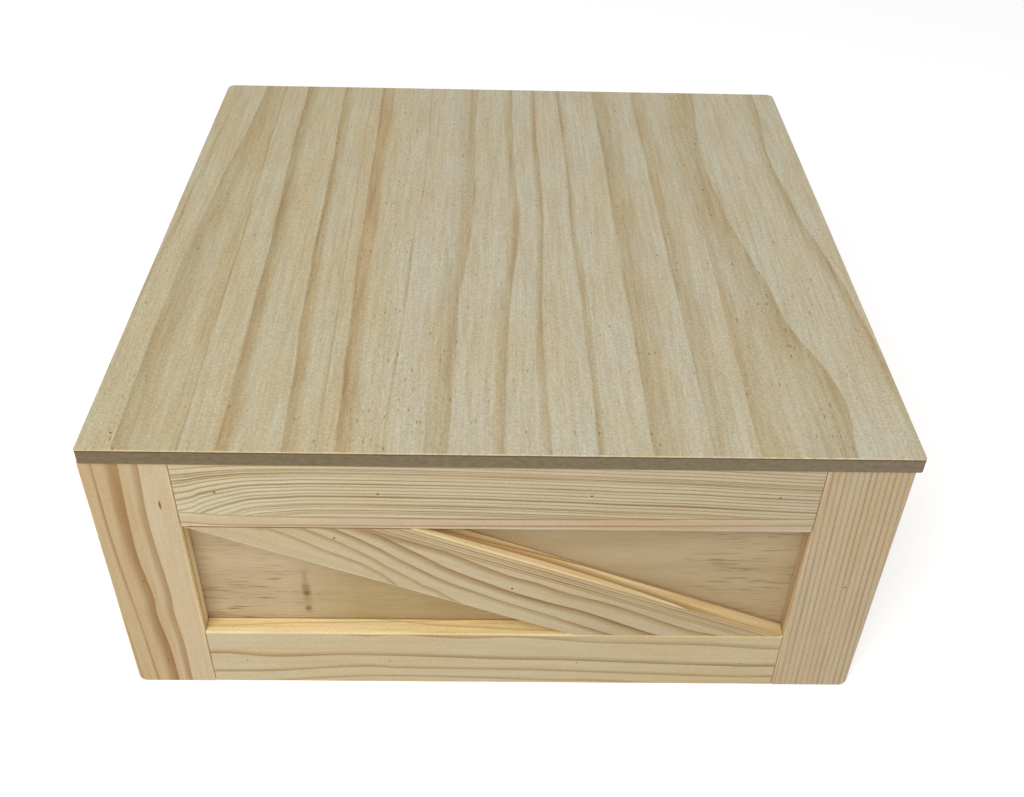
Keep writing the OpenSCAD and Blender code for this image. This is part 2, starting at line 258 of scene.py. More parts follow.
@dataclass
class Ground(Shader):
    """The nodes of a board's material, which know where on the board a surface point lies."""

    board: Board

    # How much room a curve has beyond its points, in mm, since it swings past them.
    SWING = 1.0
    # Where rims begin and end, in mm from an edge: those of long edges, of the painted highlight on their
    # arrises, and of the ends.
    EDGE_RIM = (0.25, 0.05)
    ARRIS_HIGHLIGHT_RIM = (0.8, 0.45)
    END_RIM = (0.45, 0.2)

    def __post_init__(self) -> None:
        """Start with the nodes that give a point in millimetres along, across and outward from the middle."""
        super().__post_init__()
        lay = self.board.lay
        turn = Matrix(lay.axes().tolist()).to_euler()
        place = self.add(Kind.COORDINATES).outputs["Object"]
        self.point = self.add(Kind.MAPPING, place, lay.middle, turn, (MM, MM, MM))
        self.along, self.across, self.outward = self.add(Kind.SPLIT, self.point).outputs

    def depth(self) -> Node:
        """Add the node whose output is how far in mm a point lies behind the outer face."""
        return self.add(Kind.MINUS, self.board.half_thickness, self.outward)

    def spread(self, source: Value, stops: tuple) -> Node:
        """Spread colours or greys over places on the board, level beyond the first and the last.

        Args:
            source: the place along or across the board in mm.
            stops: pairs of a place in mm and a hex colour or a grey from 0 to 1, in order.

        Returns:
            The node whose output is the colour or the grey.
        """
        places = np.array([place for place, _ in stops], float)
        shares = (places - places[0]) / np.ptp(places)
        share = self.add(Kind.RANGE, source, places[0], places[-1])
        return self.add(Kind.RAMP, share, stops=tuple(zip(shares.tolist(), [tone for _, tone in stops])))

    def curve(self, track: Track) -> Node:
        """Add a smooth curve along the board, level beyond its ends.

        Args:
            track: the points that it runs through, each a place along the board in mm and a height.

        Returns:
            The node whose output is the curve's height.
        """
        places, heights = np.array(track, float).T
        low, span = heights.min() - self.SWING, np.ptp(heights) + 2 * self.SWING
        greys = (heights - low) / span
        height = self.spread(self.along, tuple(zip(places.tolist(), greys.tolist())))
        height.color_ramp.interpolation = "CARDINAL"
        return self.add(Kind.TIMES_PLUS, height, span, low)

    def tinted(self, colour: Value, source: Value, tints: Tints) -> Node:
        """Multiply a colour by tints that pass into each other from place to place.

        Args:
            colour: the colour that is tinted.
            source: the place along or across the board in mm.
            tints: pairs of a place in mm and a tint, in order.

        Returns:
            The node whose output is the tinted colour.
        """
        return self.add(Kind.TINT, 1.0, colour, self.spread(source, tints))

    def largest(self, *values: Value) -> Value:
        """Add the nodes that pick the largest of some values."""
        return functools.reduce(lambda one, other: self.add(Kind.LARGER, one, other), values)

    def rims(self, arris_highlight: float) -> tuple[Node, Node]:
        """Add the shares of the long edges and of the ends: 1 on their faces, and none a little further in.

        Args:
            arris_highlight: the share of the edges' colour that is painted on their rounded arrises, as a
                highlight.

        Returns:
            The node for the long edges with their painted arris highlight, and that for the ends.
        """
        width, length = self.board.half_width, self.board.half_length
        squared = self.add(Kind.TIMES_PLUS, self.across, -self.board.slant, self.along)
        aside = self.add(Kind.SIZE, self.across)
        ahead = self.add(Kind.SIZE, squared)
        rims = (
            (aside, width, self.EDGE_RIM, 1.0),
            (aside, width, self.ARRIS_HIGHLIGHT_RIM, arris_highlight),
            (ahead, length, self.END_RIM, 1.0),
        )
        edges, arrises, ends = (
            self.add(Kind.RANGE, place, half - start, half - end, 0.0, most)
            for place, half, (start, end), most in rims
        )
        return self.largest(edges, arrises), ends

    def close(self, colour: Value, height: Value, roughness: Value, sheen: Sheen) -> Material:
        """Add the surface and its bumps, which completes the material.

        Args:
            colour: the surface's colour.
            height: the height of the bumps, as a share of their rise.
            roughness: the surface's roughness, from 0 to 1.
            sheen: how the surface takes light besides.

        Returns:
            The material.
        """
        surface = self.add(Kind.SURFACE, named={
            "Base Color": colour,
            "Metallic": sheen.metallic,
            "Roughness": roughness,
            "Specular IOR Level": sheen.specular,
            "Normal": self.add(Kind.BUMP, sheen.strength, sheen.rise * MM, named={"Height": height}),
        })
        self.add(Kind.MATERIAL, surface)
        return self.owner


@dataclass(frozen=True)
class Streaks:
    """Noise that is drawn out along the grain, and what it is turned to.

    A streak has a length and a width in mm. The seed, added to the board's own, tells these streaks from
    others, and detail says how many finer layers lie on them. The noise is about 0.5. From the first to the
    second number of noise it is turned to the numbers from the first to the second of gives.
    """

    length: float
    width: float
    seed: float
    noise: Pair = (0.0, 1.0)
    gives: Pair = (0.0, 1.0)
    detail: float = DETAIL

    def raw(self, ground: Ground, seed: float) -> Node:
        """Add the noise of the streaks on a board with the given seed."""
        drawn = ground.add(Kind.EACH_TIMES, ground.point, (1 / self.length, 1 / self.width, 1 / self.width))
        return ground.add(Kind.STREAKS, drawn, seed + self.seed, 1.0, self.detail)

    def value(self, ground: Ground, seed: float) -> Node:
        """Add the streaks on a board with the given seed, turned to what they give."""
        return ground.add(Kind.RANGE, self.raw(ground, seed), *self.noise, *self.gives)


@dataclass(frozen=True)
class GrowthLine:
    """A line of late wood: the places along and across the board in mm that it runs through, and its fading.

    The line is sharp on one side. On the other it fades over fade millimetres, towards lower places across
    where fade is positive and towards higher ones where not. It keeps most of its depth over the share core
    of that width, and on the sharp side it rises over rise millimetres.
    """

    track: Track
    fade: float
    depth: float
    core: float = 0.35
    rise: float = 0.25

    # The most that the rise takes of the width, and the share of the depth that is left where the core ends.
    WIDEST_RISE = 0.4
    CORE_DEPTH = 0.62
    # How far the lid reaches from its middle to its back and front edges in mm, and its lines' core and rise.
    LID_REACH = 150.0
    LID_CORE = 0.45
    LID_RISE = 0.7

    @classmethod
    def level(cls, place: float, fade: float, depth: float) -> "GrowthLine":
        """A line that keeps its place across the board."""
        return cls(((-1.0, place), (1.0, place)), fade, depth)

    @classmethod
    def through(cls, places: tuple[float, ...], fade: float, depth: float) -> "GrowthLine":
        """A line of the lid, softer than those of the strips.

        Args:
            places: places across, evenly spaced from the lid's back edge to its front edge.
            fade: over how many mm the line fades.
            depth: how dark it is.

        Returns:
            The line.
        """
        along = np.linspace(-cls.LID_REACH, cls.LID_REACH, len(places))
        return cls(tuple(zip(along.tolist(), places)), fade, depth, cls.LID_CORE, cls.LID_RISE)

    def shade(self, ground: Ground, across: Value) -> Node:
        """Add the line's shade.

        Args:
            ground: the board's material in the making.
            across: the place across the board in mm, or across its edge for a line of the edge.

        Returns:
            The node whose output is the line's depth at a point, from 0 to 1.
        """
        gap = ground.add(Kind.MINUS, ground.curve(self.track), across)
        rise = min(self.rise / abs(self.fade), self.WIDEST_RISE)
        share = ground.add(Kind.TIMES_PLUS, gap, (1 - rise) / self.fade, rise)
        shoulder = rise + (1 - rise) * self.core
        stops = ((0.0, 0.0), (rise, self.depth), (shoulder, self.CORE_DEPTH * self.depth), (1.0, 0.0))
        return ground.add(Kind.RAMP, share, stops=stops)


@dataclass(frozen=True)
class Smudge:
    """A dark mark, such as a resin streak or a pin knot: its place and half size in mm, and its depth."""

    along: float
    across: float
    half_length: float
    half_width: float
    depth: float

    # The share of its half size over which a mark keeps its depth.
    CORE = 0.3

    def shade(self, ground: Ground, point: Value) -> Node:
        """Add the mark's shade, which falls off with the distance from its middle.

        Args:
            ground: the board's material in the making.
            point: the point in mm, along, across and outward.

        Returns:
            The node whose output is the mark's depth at a point.
        """
        offset = ground.add(Kind.EACH_MINUS, point, (self.along, self.across, 0))
        share = ground.add(Kind.EACH_TIMES, offset, (1 / self.half_length, 1 / self.half_width, 0))
        distance = ground.add(Kind.LENGTH, share)
        return ground.add(Kind.RANGE, distance, self.CORE, 1.0, self.depth, 0.0)


@dataclass(frozen=True)
class Fan:
    """Lines that spread apart towards one end of a board, where the wood grew round a branch.

    The lines drift across the board by the heights of drift. Their distances from the place pivot are then
    drawn larger, and the heights of share say which part of a drawn distance that adds. They stop at border.
    """

    drift: Track
    pivot: float
    share: Track
    border: Track

    def sweep(self, ground: Ground, across: Value) -> Node:
        """Add the swept place across the board.

        Args:
            ground: the board's material in the making.
            across: the place across the board in mm.

        Returns:
            The node whose output is the place across that the lines are drawn by.
        """
        drifted = ground.add(Kind.MINUS, across, ground.curve(self.drift))
        distance = ground.add(Kind.MINUS, drifted, self.pivot)
        added = ground.add(Kind.TIMES, distance, ground.curve(self.share))
        return ground.add(Kind.MINUS, drifted, added)

    def inside(self, ground: Ground, across: Value) -> Node:
        """Add the node whose output is 1 on the swept lines' side of the border and 0 beyond it."""
        return ground.add(Kind.BELOW, across, ground.curve(self.border))


@dataclass(frozen=True)
class Pine:
    """Planed and unfinished pine: pale early wood, lines of darker late wood and fine fibres.

    The eye sees lines that follow the cut of the board, sharp on one side and soft on the other, golden
    edges, and a satin surface with short streaks along the grain. The golden edges are partly the wood's own
    colour and partly painted light; pale arrises are a painted highlight, and some boards carry painted shade
    along them and painted shadow where they sit on their walls. Lengths are in millimetres.
    """

    pale: str = "#d0bd9a"
    warm: str = "#bca078"
    dark: str = "#8f6e42"
    spot: str = "#54422a"
    # Edge colours: partly the edge grain's own, and on the strips partly painted light, brighter and more
    # golden where ledges and inner faces catch the lamp and its warm bounce.
    edge: str = "#e2c490"
    edge_warm: str = "#cda66d"
    blush: str = "#fff8f0"
    tints: Tints = ()
    # Tints along the board, darker towards one end: painted shade where less of the lamp's light falls.
    painted_shade_along: Tints = ()
    lines: tuple[GrowthLine, ...] = ()
    straight_lines: tuple[GrowthLine, ...] = ()
    edge_lines: tuple[GrowthLine, ...] = ()
    fine_spacing: float = 2.0
    fine_depth: float = 0.0
    fine_lean: float = 0.0
    fan: Fan | None = None
    waver: float = 0.3
    waver_length: float = 60.0
    tilt: float = 0.45
    mottle: float = 0.15
    smudges: tuple[Smudge, ...] = ()
    # How much of the pale edge colour is painted on the rounded arrises: a painted highlight.
    arris_highlight: float = 0.0
    joint_shade: float = 0.0
    # How dark the painted shadow is at the back of the edges, in the corner where the board sits on its wall.
    painted_seat_shadow: float = 0.9
    pores: float = 0.0
    pore_share: float = 0.0
    pore_bands: tuple[Vector3, ...] = ()
    fuzz: float = 0.05
    speckle: float = 0.02
    speckle_scale: float = 1.5
    seed: float = 0.0

    SHEEN = Sheen(strength=0.35, rise=0.06)
    # The part of the fibres' noise over which the roughness changes, and from what to what.
    ROUGHNESS = (0.3, 0.7, 0.56, 0.7)
    # Shades run from 0 on the palest wood, over warm wood and 1 on late wood, to the darkest marks.
    WARM = 0.45
    LINES_LIMIT = 1.15
    DARKEST = 1.6
    # Late wood is stronger in some patches, broken by hairs, and clouds lie between its lines.
    PATCHES = Streaks(70, 9, 3, (0.25, 0.75), (0.65, 1.2))
    HAIRS = Streaks(20, 0.35, 11, (0.3, 0.7), (0.85, 1.13))
    CLOUDS = Streaks(45, 2.2, 13, (0.4, 0.75))
    EDGE_CLOUDS = Streaks(45, 2.2, 13, (0.35, 0.7), (0.0, 0.5))
    BLUSHES = Streaks(60, 14, 9, (0.35, 0.65))
    # Fibres and grit of this scale make the relief, and these parts of the noise of relief and of specks
    # turn to light.
    FIBRES = Streaks(16, 0.5, 5, detail=3.0)
    GRIT_SCALE = 1.1
    RELIEF = (0.6, 1.4)
    SPECKS = (0.35, 0.65)
    # Slow and quick waves of the lines: their length as a share of waver_length, seed, detail, and swing as a
    # multiple of waver. Their width is the given share of their length.
    WAVES = ((1.0, 0, 1.5, 4.0), (1 / 6, 7, 1.0, 0.6))
    WAVE_WIDTH = 1 / 3
    # Fine lines are counted from far beyond the edge. Each rises slowly and ends sharply.
    FINE_START = 50
    FINE_PROFILE = ((0.0, 0.0), (0.52, 0.05), (0.8, 1.0), (1.0, 0.0))
    # Pores: the size in mm of the cells that they lie in, their inner and outer radius in cells, and how deep
    # the weakest are, as a share of the deepest.
    PORE_CELL = (6.0, 1.2, 1.2)
    PORE_DOT = (0.1, 0.26)
    WEAKEST_PORE = 0.35
    # The share of a band of pores that has them in full.
    BAND_CORE = 0.4
    # Where the painted shadow at the back of the edges begins and ends, in mm from the back face, where the
    # board sits on its wall.
    SEAT_SHADOW_RIM = (0.8, 0.3)

    @classmethod
    def sawn(cls, seed: int) -> "Pine":
        """Draw the lines of an ordinary board.

        Args:
            seed: what tells this board from others.

        Returns:
            A board with lines 3 to 8 mm apart that bow and lean a little.
        """
        draw = np.random.default_rng(seed)
        count, first, reach = 6, -18, 120
        places = np.cumsum(draw.uniform(3, 8, count)) + first
        lean = draw.uniform(-2.5, 2.5)
        bow = draw.uniform(-2, 2)
        side = draw.choice([-1, 1])
        fades = side * draw.uniform(1.2, 4.5, count)
        depths = draw.uniform(0.5, 0.95, count)
        lines = tuple(
            GrowthLine(((-reach, place - lean + bow), (0, place), (reach, place + lean + bow)), fade, depth)
            for place, fade, depth in zip(places, fades, depths)
        )
        return cls(lines=lines, fine_spacing=draw.uniform(1.4, 2.4), fine_depth=draw.uniform(0.15, 0.4),
                   waver=0.7, seed=seed)

    def waves(self, ground: Ground, across: Value) -> Node:
        """Add slow and quick waves of the lines along the grain.

        Args:
            ground: the board's material in the making.
            across: the place across the board in mm.

        Returns:
            The node whose output is the place across, with the waves.
        """
        for share, seed, detail, multiple in self.WAVES:
            length = share * self.waver_length
            swing = multiple * self.waver
            noise = Streaks(length, self.WAVE_WIDTH * length, seed, detail=detail).raw(ground, self.seed)
            moved = ground.add(Kind.TIMES_PLUS, noise, swing, across)
            across = ground.add(Kind.MINUS, moved, swing / 2)
        return across

    def fine_shade(self, ground: Ground, across: Value) -> Node:
        """Add evenly spaced fine lines, some stronger than others.

        Args:
            ground: the board's material in the making.
            across: the place across the board in mm.

        Returns:
            The node whose output is the depth of the lines at a point, from 0 to 1.
        """
        half = self.fine_depth / 2
        count = ground.add(Kind.TIMES_PLUS, across, 1 / self.fine_spacing, self.FINE_START + self.seed)
        chance = ground.add(Kind.CHANCE, ground.add(Kind.WHOLE, count))
        strength = ground.add(Kind.TIMES_PLUS, chance, half, half)
        profile = ground.add(Kind.RAMP, ground.add(Kind.FRACTION, count), stops=self.FINE_PROFILE)
        return ground.add(Kind.TIMES, strength, profile)

    def line_shade(self, ground: Ground) -> Value:
        """Add the shade of all lines. Off the outer face they lean by the tilt, as growth rings do.

        Args:
            ground: the board's material in the making.

        Returns:
            The node whose output is 0 between the lines and 1 on the darkest.
        """
        leant = ground.add(Kind.TIMES_PLUS, ground.depth(), -self.tilt, ground.across)
        place = self.waves(ground, leant)
        swept = self.fan.sweep(ground, place) if self.fan else place
        leaning = ground.add(Kind.TIMES_PLUS, ground.along, self.fine_lean, swept)
        fine = self.fine_shade(ground, leaning)
        shade = ground.largest(fine, *(line.shade(ground, swept) for line in self.lines))
        if self.fan:
            shade = ground.add(Kind.TIMES, shade, self.fan.inside(ground, place))
        return ground.largest(shade, *(line.shade(ground, place) for line in self.straight_lines))

    def pore_shade(self, ground: Ground) -> Node:
        """Add the shade of thin pores, one in some of the cells, and in more of them within the bands.

        Args:
            ground: the board's material in the making.

        Returns:
            The node whose output is the pores' depth at a point.
        """
        cells = ground.add(Kind.EACH_TIMES, ground.point, tuple(1 / size for size in self.PORE_CELL))
        cell = ground.add(Kind.CELLS, cells, 1.0)
        chance, strength, _ = ground.add(Kind.CHANNELS, cell.outputs["Color"]).outputs
        depth = ground.add(Kind.RANGE, strength, 0.0, 1.0, self.WEAKEST_PORE * self.pores, self.pores)
        dot = ground.add(Kind.RANGE, cell, *self.PORE_DOT, depth, 0.0)
        share = self.pore_share
        for middle, half_width, more in self.pore_bands:
            reach = ground.add(Kind.SIZE, ground.add(Kind.MINUS, ground.across, middle))
            near = ground.add(Kind.RANGE, reach, self.BAND_CORE * half_width, half_width, more, 0.0)
            share = ground.add(Kind.PLUS, share, near)
        return ground.add(Kind.TIMES, dot, ground.add(Kind.BELOW, chance, share))

    def face_shade(self, ground: Ground) -> Value:
        """Add the shade of the late wood, broken by hairs and in patches, of pores and of marks.

        Args:
            ground: the board's material in the making.

        Returns:
            The node whose output is 0 on the palest wood, 1 on late wood and up to DARKEST on marks.
        """
        patches = self.PATCHES.value(ground, self.seed)
        strength = ground.add(Kind.TIMES, patches, self.HAIRS.value(ground, self.seed))
        clouds = replace(self.CLOUDS, gives=(0.0, self.mottle)).value(ground, self.seed)
        shade = ground.add(Kind.TIMES_PLUS, self.line_shade(ground), strength, clouds)
        shade = ground.add(Kind.SMALLER, shade, self.LINES_LIMIT)
        if self.pores:
            shade = ground.add(Kind.PLUS, shade, self.pore_shade(ground))
        return ground.largest(shade, *(smudge.shade(ground, ground.point) for smudge in self.smudges))

    def edge_shade(self, ground: Ground) -> Value:
        """Add the shade of the long edges: their own lines, given by places along and depths behind the face.

        Args:
            ground: the board's material in the making.

        Returns:
            The node whose output is 0 on the palest wood and 1 on late wood, with painted shadow at the back.
        """
        depth = ground.depth()
        clouds = self.EDGE_CLOUDS.value(ground, self.seed)
        shade = ground.largest(clouds, *(line.shade(ground, depth) for line in self.edge_lines))
        # Painted shadow: the edges darken towards the back face, where the board meets its wall and shade
        # falls.
        if self.painted_seat_shadow:
            seat = 2 * ground.board.half_thickness
            start, end = seat - self.SEAT_SHADOW_RIM[0], seat - self.SEAT_SHADOW_RIM[1]
            painted_shadow = ground.add(Kind.RANGE, depth, start, end, 0.0, self.painted_seat_shadow)
            shade = ground.largest(shade, painted_shadow)
        return shade

    def colours(self, ground: Ground, shade: Value, pale: str, warm: str) -> Node:
        """Add the ramp from pale wood over warm and late wood to the darkest marks.

        Args:
            ground: the board's material in the making.
            shade: 0 on the palest wood, 1 on late wood and up to DARKEST on marks.
            pale: the colour of the palest wood.
            warm: the colour of wood on the way to late wood.

        Returns:
            The node whose output is the colour.
        """
        share = ground.add(Kind.OVER, shade, self.DARKEST)
        warm_share, late_share = self.WARM / self.DARKEST, 1 / self.DARKEST
        stops = ((0.0, pale), (1.0, self.spot), (warm_share, warm), (late_share, self.dark))
        return ground.add(Kind.RAMP, share, stops=stops)

    def tone(self, ground: Ground) -> Value:
        """Add the colour of the wood before its fibres: faces, edges, slow changes of hue and painted shade.

        Args:
            ground: the board's material in the making.

        Returns:
            The node whose output is the colour.
        """
        shade = self.face_shade(ground)
        edges, ends = ground.rims(self.arris_highlight)
        if self.joint_shade:
            shade = ground.largest(shade, ground.add(Kind.TIMES, ends, self.joint_shade))
        else:
            edges = ground.largest(edges, ends)
        face = self.colours(ground, shade, self.pale, self.warm)
        # The edges' colours are partly painted light: brighter and more golden than the faces.
        rim = self.colours(ground, self.edge_shade(ground), self.edge, self.edge_warm)
        wood = ground.add(Kind.MIX, edges, face, rim)
        wood = ground.add(Kind.TINT, self.BLUSHES.value(ground, self.seed), wood, self.blush)
        # Tints along the board are painted shade; tints across it are changes of hue.
        for source, tints in ((ground.along, self.painted_shade_along), (ground.across, self.tints)):
            wood = ground.tinted(wood, source, tints) if tints else wood
        return wood

    def material(self, name: str, board: Board) -> Material:
        """Make the material of one board.

        Args:
            name: the material's name.
            board: how the board lies.

        Returns:
            The material.
        """
        ground = Ground(bpy.data.materials.new(name), board)
        tone = self.tone(ground)
        fibre = self.FIBRES.raw(ground, self.seed)
        relief = ground.add(Kind.PLUS, fibre, ground.add(Kind.NOISE, ground.point, self.GRIT_SCALE, DETAIL))
        light = ground.add(Kind.RANGE, relief, *self.RELIEF, 1 - 2 * self.fuzz, 1 + 2 * self.fuzz)
        speck = ground.add(Kind.NOISE, ground.point, self.speckle_scale, DETAIL)
        specks = ground.add(Kind.RANGE, speck, *self.SPECKS, 1 - self.speckle, 1 + self.speckle)
        colour = ground.add(Kind.SCALED, tone, ground.add(Kind.TIMES, light, specks))
        return ground.close(colour, relief, ground.add(Kind.RANGE, fibre, *self.ROUGHNESS), self.SHEEN)


@dataclass(frozen=True)
class Plywood:
    """Sanded three-ply pine: rotary-cut faces with sparse dashes, and a darker ply that shows on the edges.

    The eye sees a smooth, warm sheet, pinkish at one end and olive at the other, with a few thin dark dashes
    along the grain. Lengths are in millimetres.
    """

    pale: str = "#cdb796"
    warm: str = "#b49a73"
    dark: str = "#7d6039"
    tints: Tints = ((-100, "#f3efe2"), (100, "#f0ede2"))
    dash_share: Track = ((-100, 0.55), (100, 0.45))
    core: str = "#a98c62"
    glue: str = "#7d6443"
    smudges: tuple[Smudge, ...] = ()
    seed: float = 0.0

    SHEEN = Sheen(strength=0.3, rise=0.05)
    # The part of the fibres' noise over which the roughness changes, and from what to what.
    ROUGHNESS = (0.3, 0.7, 0.58, 0.74)
    # The shade of warm wood, between 0 on pale and 1 on dark wood.
    WARM = 0.4
    # Thin dashes stand in groups, over broad clouds. Fibres vary the light.
    DASHES = Streaks(13, 0.55, 0, (0.57, 0.72))
    GROUPS = Streaks(40, 12, 2, (0.4, 0.6), (0.4, 1.1))
    CLOUDS = Streaks(90, 14, 4, (0.3, 0.7), (0.0, 0.32))
    FIBRES = Streaks(9, 0.5, 6, (0.3, 0.7), (0.9, 1.08), detail=3.0)
    # How far marks are frayed along and across, in mm, by noise of this scale.
    FRAY = (1.6, 1.6, 0.0)
    FRAY_SCALE = 0.9
    # Where the core passes into glue, and glue into the face, as shares of the way from middle to face.
    CORE_TO_GLUE = (0.5, 0.56)
    GLUE_TO_FACE = (0.58, 0.62)

    def shade(self, ground: Ground) -> Node:
        """Add the shade of dashes, clouds and, on the outer face, marks.

        Args:
            ground: the sheet's material in the making.

        Returns:
            The node whose output is 0 on the palest wood and 1 on the darkest.
        """
        groups = ground.add(Kind.TIMES, self.GROUPS.value(ground, self.seed), ground.curve(self.dash_share))
        clouds = self.CLOUDS.value(ground, self.seed)
        shade = ground.add(Kind.TIMES_PLUS, self.DASHES.value(ground, self.seed), groups, clouds)
        noise = ground.add(Kind.NOISE, ground.point, self.FRAY_SCALE, DETAIL).outputs["Color"]
        middle = tuple(-reach / 2 for reach in self.FRAY)
        shift = ground.add(Kind.EACH_TIMES_PLUS, noise, self.FRAY, middle)
        frayed = ground.add(Kind.EACH_PLUS, ground.point, shift)
        outer = ground.add(Kind.ABOVE, ground.outward, 0.0)
        for smudge in self.smudges:
            shade = ground.add(Kind.TIMES_PLUS, smudge.shade(ground, frayed), outer, shade)
        return shade

    def material(self, name: str, board: Board) -> Material:
        """Make the material of one sheet.

        Args:
            name: the material's name.
            board: how the sheet lies.

        Returns:
            The material.
        """
        ground = Ground(bpy.data.materials.new(name), board)
        stops = ((0.0, self.pale), (1.0, self.dark), (self.WARM, self.warm))
        face = ground.add(Kind.RAMP, self.shade(ground), stops=stops)
        face = ground.tinted(face, ground.along, self.tints)
        share = ground.add(Kind.OVER, ground.add(Kind.SIZE, ground.outward), board.half_thickness)
        core_end, glue_start = self.CORE_TO_GLUE
        stops = ((0.0, self.core), (1.0, self.glue), (core_end, self.core), (glue_start, self.glue))
        inner = ground.add(Kind.RAMP, share, stops=stops)
        glue_end, face_start = self.GLUE_TO_FACE
        stops = ((0.0, 1.0), (1.0, 0.0), (glue_end, 1.0), (face_start, 0.0))
        within = ground.add(Kind.RAMP, share, stops=stops)
        wood = ground.add(Kind.MIX, within, face, inner)
        fibre = self.FIBRES.raw(ground, self.seed)
        light = ground.add(Kind.RANGE, fibre, *self.FIBRES.noise, *self.FIBRES.gives)
        colour = ground.add(Kind.SCALED, wood, light)
        return ground.close(colour, fibre, ground.add(Kind.RANGE, fibre, *self.ROUGHNESS), self.SHEEN)


@dataclass(frozen=True)
class Fibreboard:
    """Medium-density fibreboard with a sawn edge: brown felted fibres under a dark line of glue.

    The eye sees a dull, fine-grained band, darker along the glue of the upper veneer. The fibres of about
    0.1 mm are drawn 0.4 mm coarse, so that they show.
    """

    light: str = "#8d816b"
    middle: str = "#7e725c"
    dark: str = "#6d614c"
    glue: str = "#5a4a30"
    tints: Tints = ((-110, "#f9f2e6"), (110, WHITE))
    glue_width: float = 0.45

    SHEEN = Sheen(strength=0.5, rise=0.12, specular=0.2)
    ROUGHNESS = 0.85
    # The felt's scale, layers and roughness, and the size of its flakes in mm along, across and upward.
    FELT = (2.6, 4.0, 0.7)
    FLAKE = (3.0, 3.0, 1.5)
    # The part of their noise that turns to a shade, and the shade of middle fibres.
    SHADES = (0.55, 1.45)
    MIDDLE = 0.45
    # Where the glue begins and is full below the upper face, as multiples of its width.
    GLUE_RIM = (1.5, 0.5)

    def material(self, name: str, board: Board) -> Material:
        """Make the material of the board.

        Args:
            name: the material's name.
            board: how the board lies, outward being up.

        Returns:
            The material.
        """
        ground = Ground(bpy.data.materials.new(name), board)
        felt = ground.add(Kind.NOISE, ground.point, *self.FELT)
        flakes = ground.add(Kind.EACH_TIMES, ground.point, tuple(1 / size for size in self.FLAKE))
        both = ground.add(Kind.PLUS, felt, ground.add(Kind.NOISE, flakes, 1.0, DETAIL))
        shade = ground.add(Kind.RANGE, both, *self.SHADES)
        stops = ((0.0, self.dark), (1.0, self.light), (self.MIDDLE, self.middle))
        fibres = ground.tinted(ground.add(Kind.RAMP, shade, stops=stops), ground.along, self.tints)
        start, end = (board.half_thickness - share * self.glue_width for share in self.GLUE_RIM)
        colour = ground.add(Kind.MIX, ground.add(Kind.RANGE, ground.outward, start, end), fibres, self.glue)
        return ground.close(colour, both, self.ROUGHNESS, self.SHEEN)


@dataclass(frozen=True)
class Metal:
    """A small metal part, such as rolled brass or drawn steel wire.

    The eye sees a bright surface with fine scratches and cloudy patches of tarnish. The scratches of a few
    hundredths of a millimetre are drawn 0.15 mm wide, so that they show.
    """

    bright: str
    dull: str
    roughness: Pair

    SHEEN = Sheen(strength=0.25, rise=0.02, specular=0.5, metallic=1.0)
    SCRATCHES = Streaks(5.0, 0.15, 1)
    # The tarnish's scale and layers, and the part of its noise over which bright metal turns dull.
    TARNISH = (0.35, 4.0)
    DULLING = (0.4, 0.68)
    # The part of the noise of scratches and tarnish over which the roughness changes.
    ROUGHENING = (0.7, 1.3)

    def material(self, name: str, along: Vector3, outward: Vector3) -> Material:
        """Make the material of metal parts.

        Args:
            name: the material's name.
            along: the direction that the scratches run in.
            outward: a direction square to it.

        Returns:
            The material.
        """
        ground = Ground(bpy.data.materials.new(name), Board(Lay((0, 0, 0), along, outward)))
        scratch = self.SCRATCHES.raw(ground, 0)
        tarnish = ground.add(Kind.NOISE, ground.point, *self.TARNISH)
        shade = ground.add(Kind.RANGE, tarnish, *self.DULLING)
        colour = ground.add(Kind.RAMP, shade, stops=((0.0, self.bright), (1.0, self.dull)))
        both = ground.add(Kind.PLUS, scratch, tarnish)
        rough = ground.add(Kind.RANGE, both, *self.ROUGHENING, *self.roughness)
        return ground.close(colour, scratch, rough, self.SHEEN)


def skin(rings: int, points: int) -> list[list[int]]:
    """Join rings of points to one closed skin.

    Args:
        rings: how many rings there are, each further along than the one before.
        points: how many points a ring has, counter-clockwise for someone who looks back along the piece.

    Returns:
        The quads between the rings, ring by ring, then the first and the last ring's cap.
    """
    ring = np.arange(rings - 1)[:, None] * points
    here = np.arange(points)[None, :]
    onward = np.roll(here, -1, axis=1)
    quads = np.stack([ring + here, ring + onward, ring + points + onward, ring + points + here], axis=-1)
    first = np.arange(points)[::-1]
    last = (rings - 1) * points + np.arange(points)
    return quads.reshape(-1, 4).tolist() + [first.tolist(), last.tolist()]


def make_piece(name: str, shells: np.ndarray, smooth: np.ndarray | bool = False) -> Object:
    """Make an object of one or more closed skins.

    Args:
        name: the object's name.
        shells: points in the frame, by shell, ring, point of the ring, and coordinate.
        smooth: which faces of a shell are shaded smooth, or whether all are.

    Returns:
        The object, at the origin.
    """
    count, rings, points, _ = shells.shape
    faces = skin(rings, points)
    offsets = np.arange(count) * rings * points
    every_face = [[corner + offset for corner in face] for offset in offsets.tolist() for face in faces]
    mesh = bpy.data.meshes.new(name)
    mesh.from_pydata(shells.reshape(-1, 3).tolist(), [], every_face)
    mesh.polygons.foreach_set("use_smooth", np.tile(np.broadcast_to(smooth, len(faces)), count))
    piece = bpy.data.objects.new(name, mesh)
    bpy.context.scene.collection.objects.link(piece)
    return piece


def turned(radii: np.ndarray, outward: np.ndarray, segments: int) -> np.ndarray:
    """Turn radii round the line outward.

    Args:
        radii: the radius of each ring, as a column, or of each of its points.
        outward: how far outward each ring lies, as a column.
        segments: how many points a ring has.

    Returns:
        Points along, across and outward, by ring and point.
    """
    angle = np.arange(segments) * FULL_TURN / segments
    return np.stack(np.broadcast_arrays(radii * np.cos(angle), radii * np.sin(angle), outward), axis=-1)


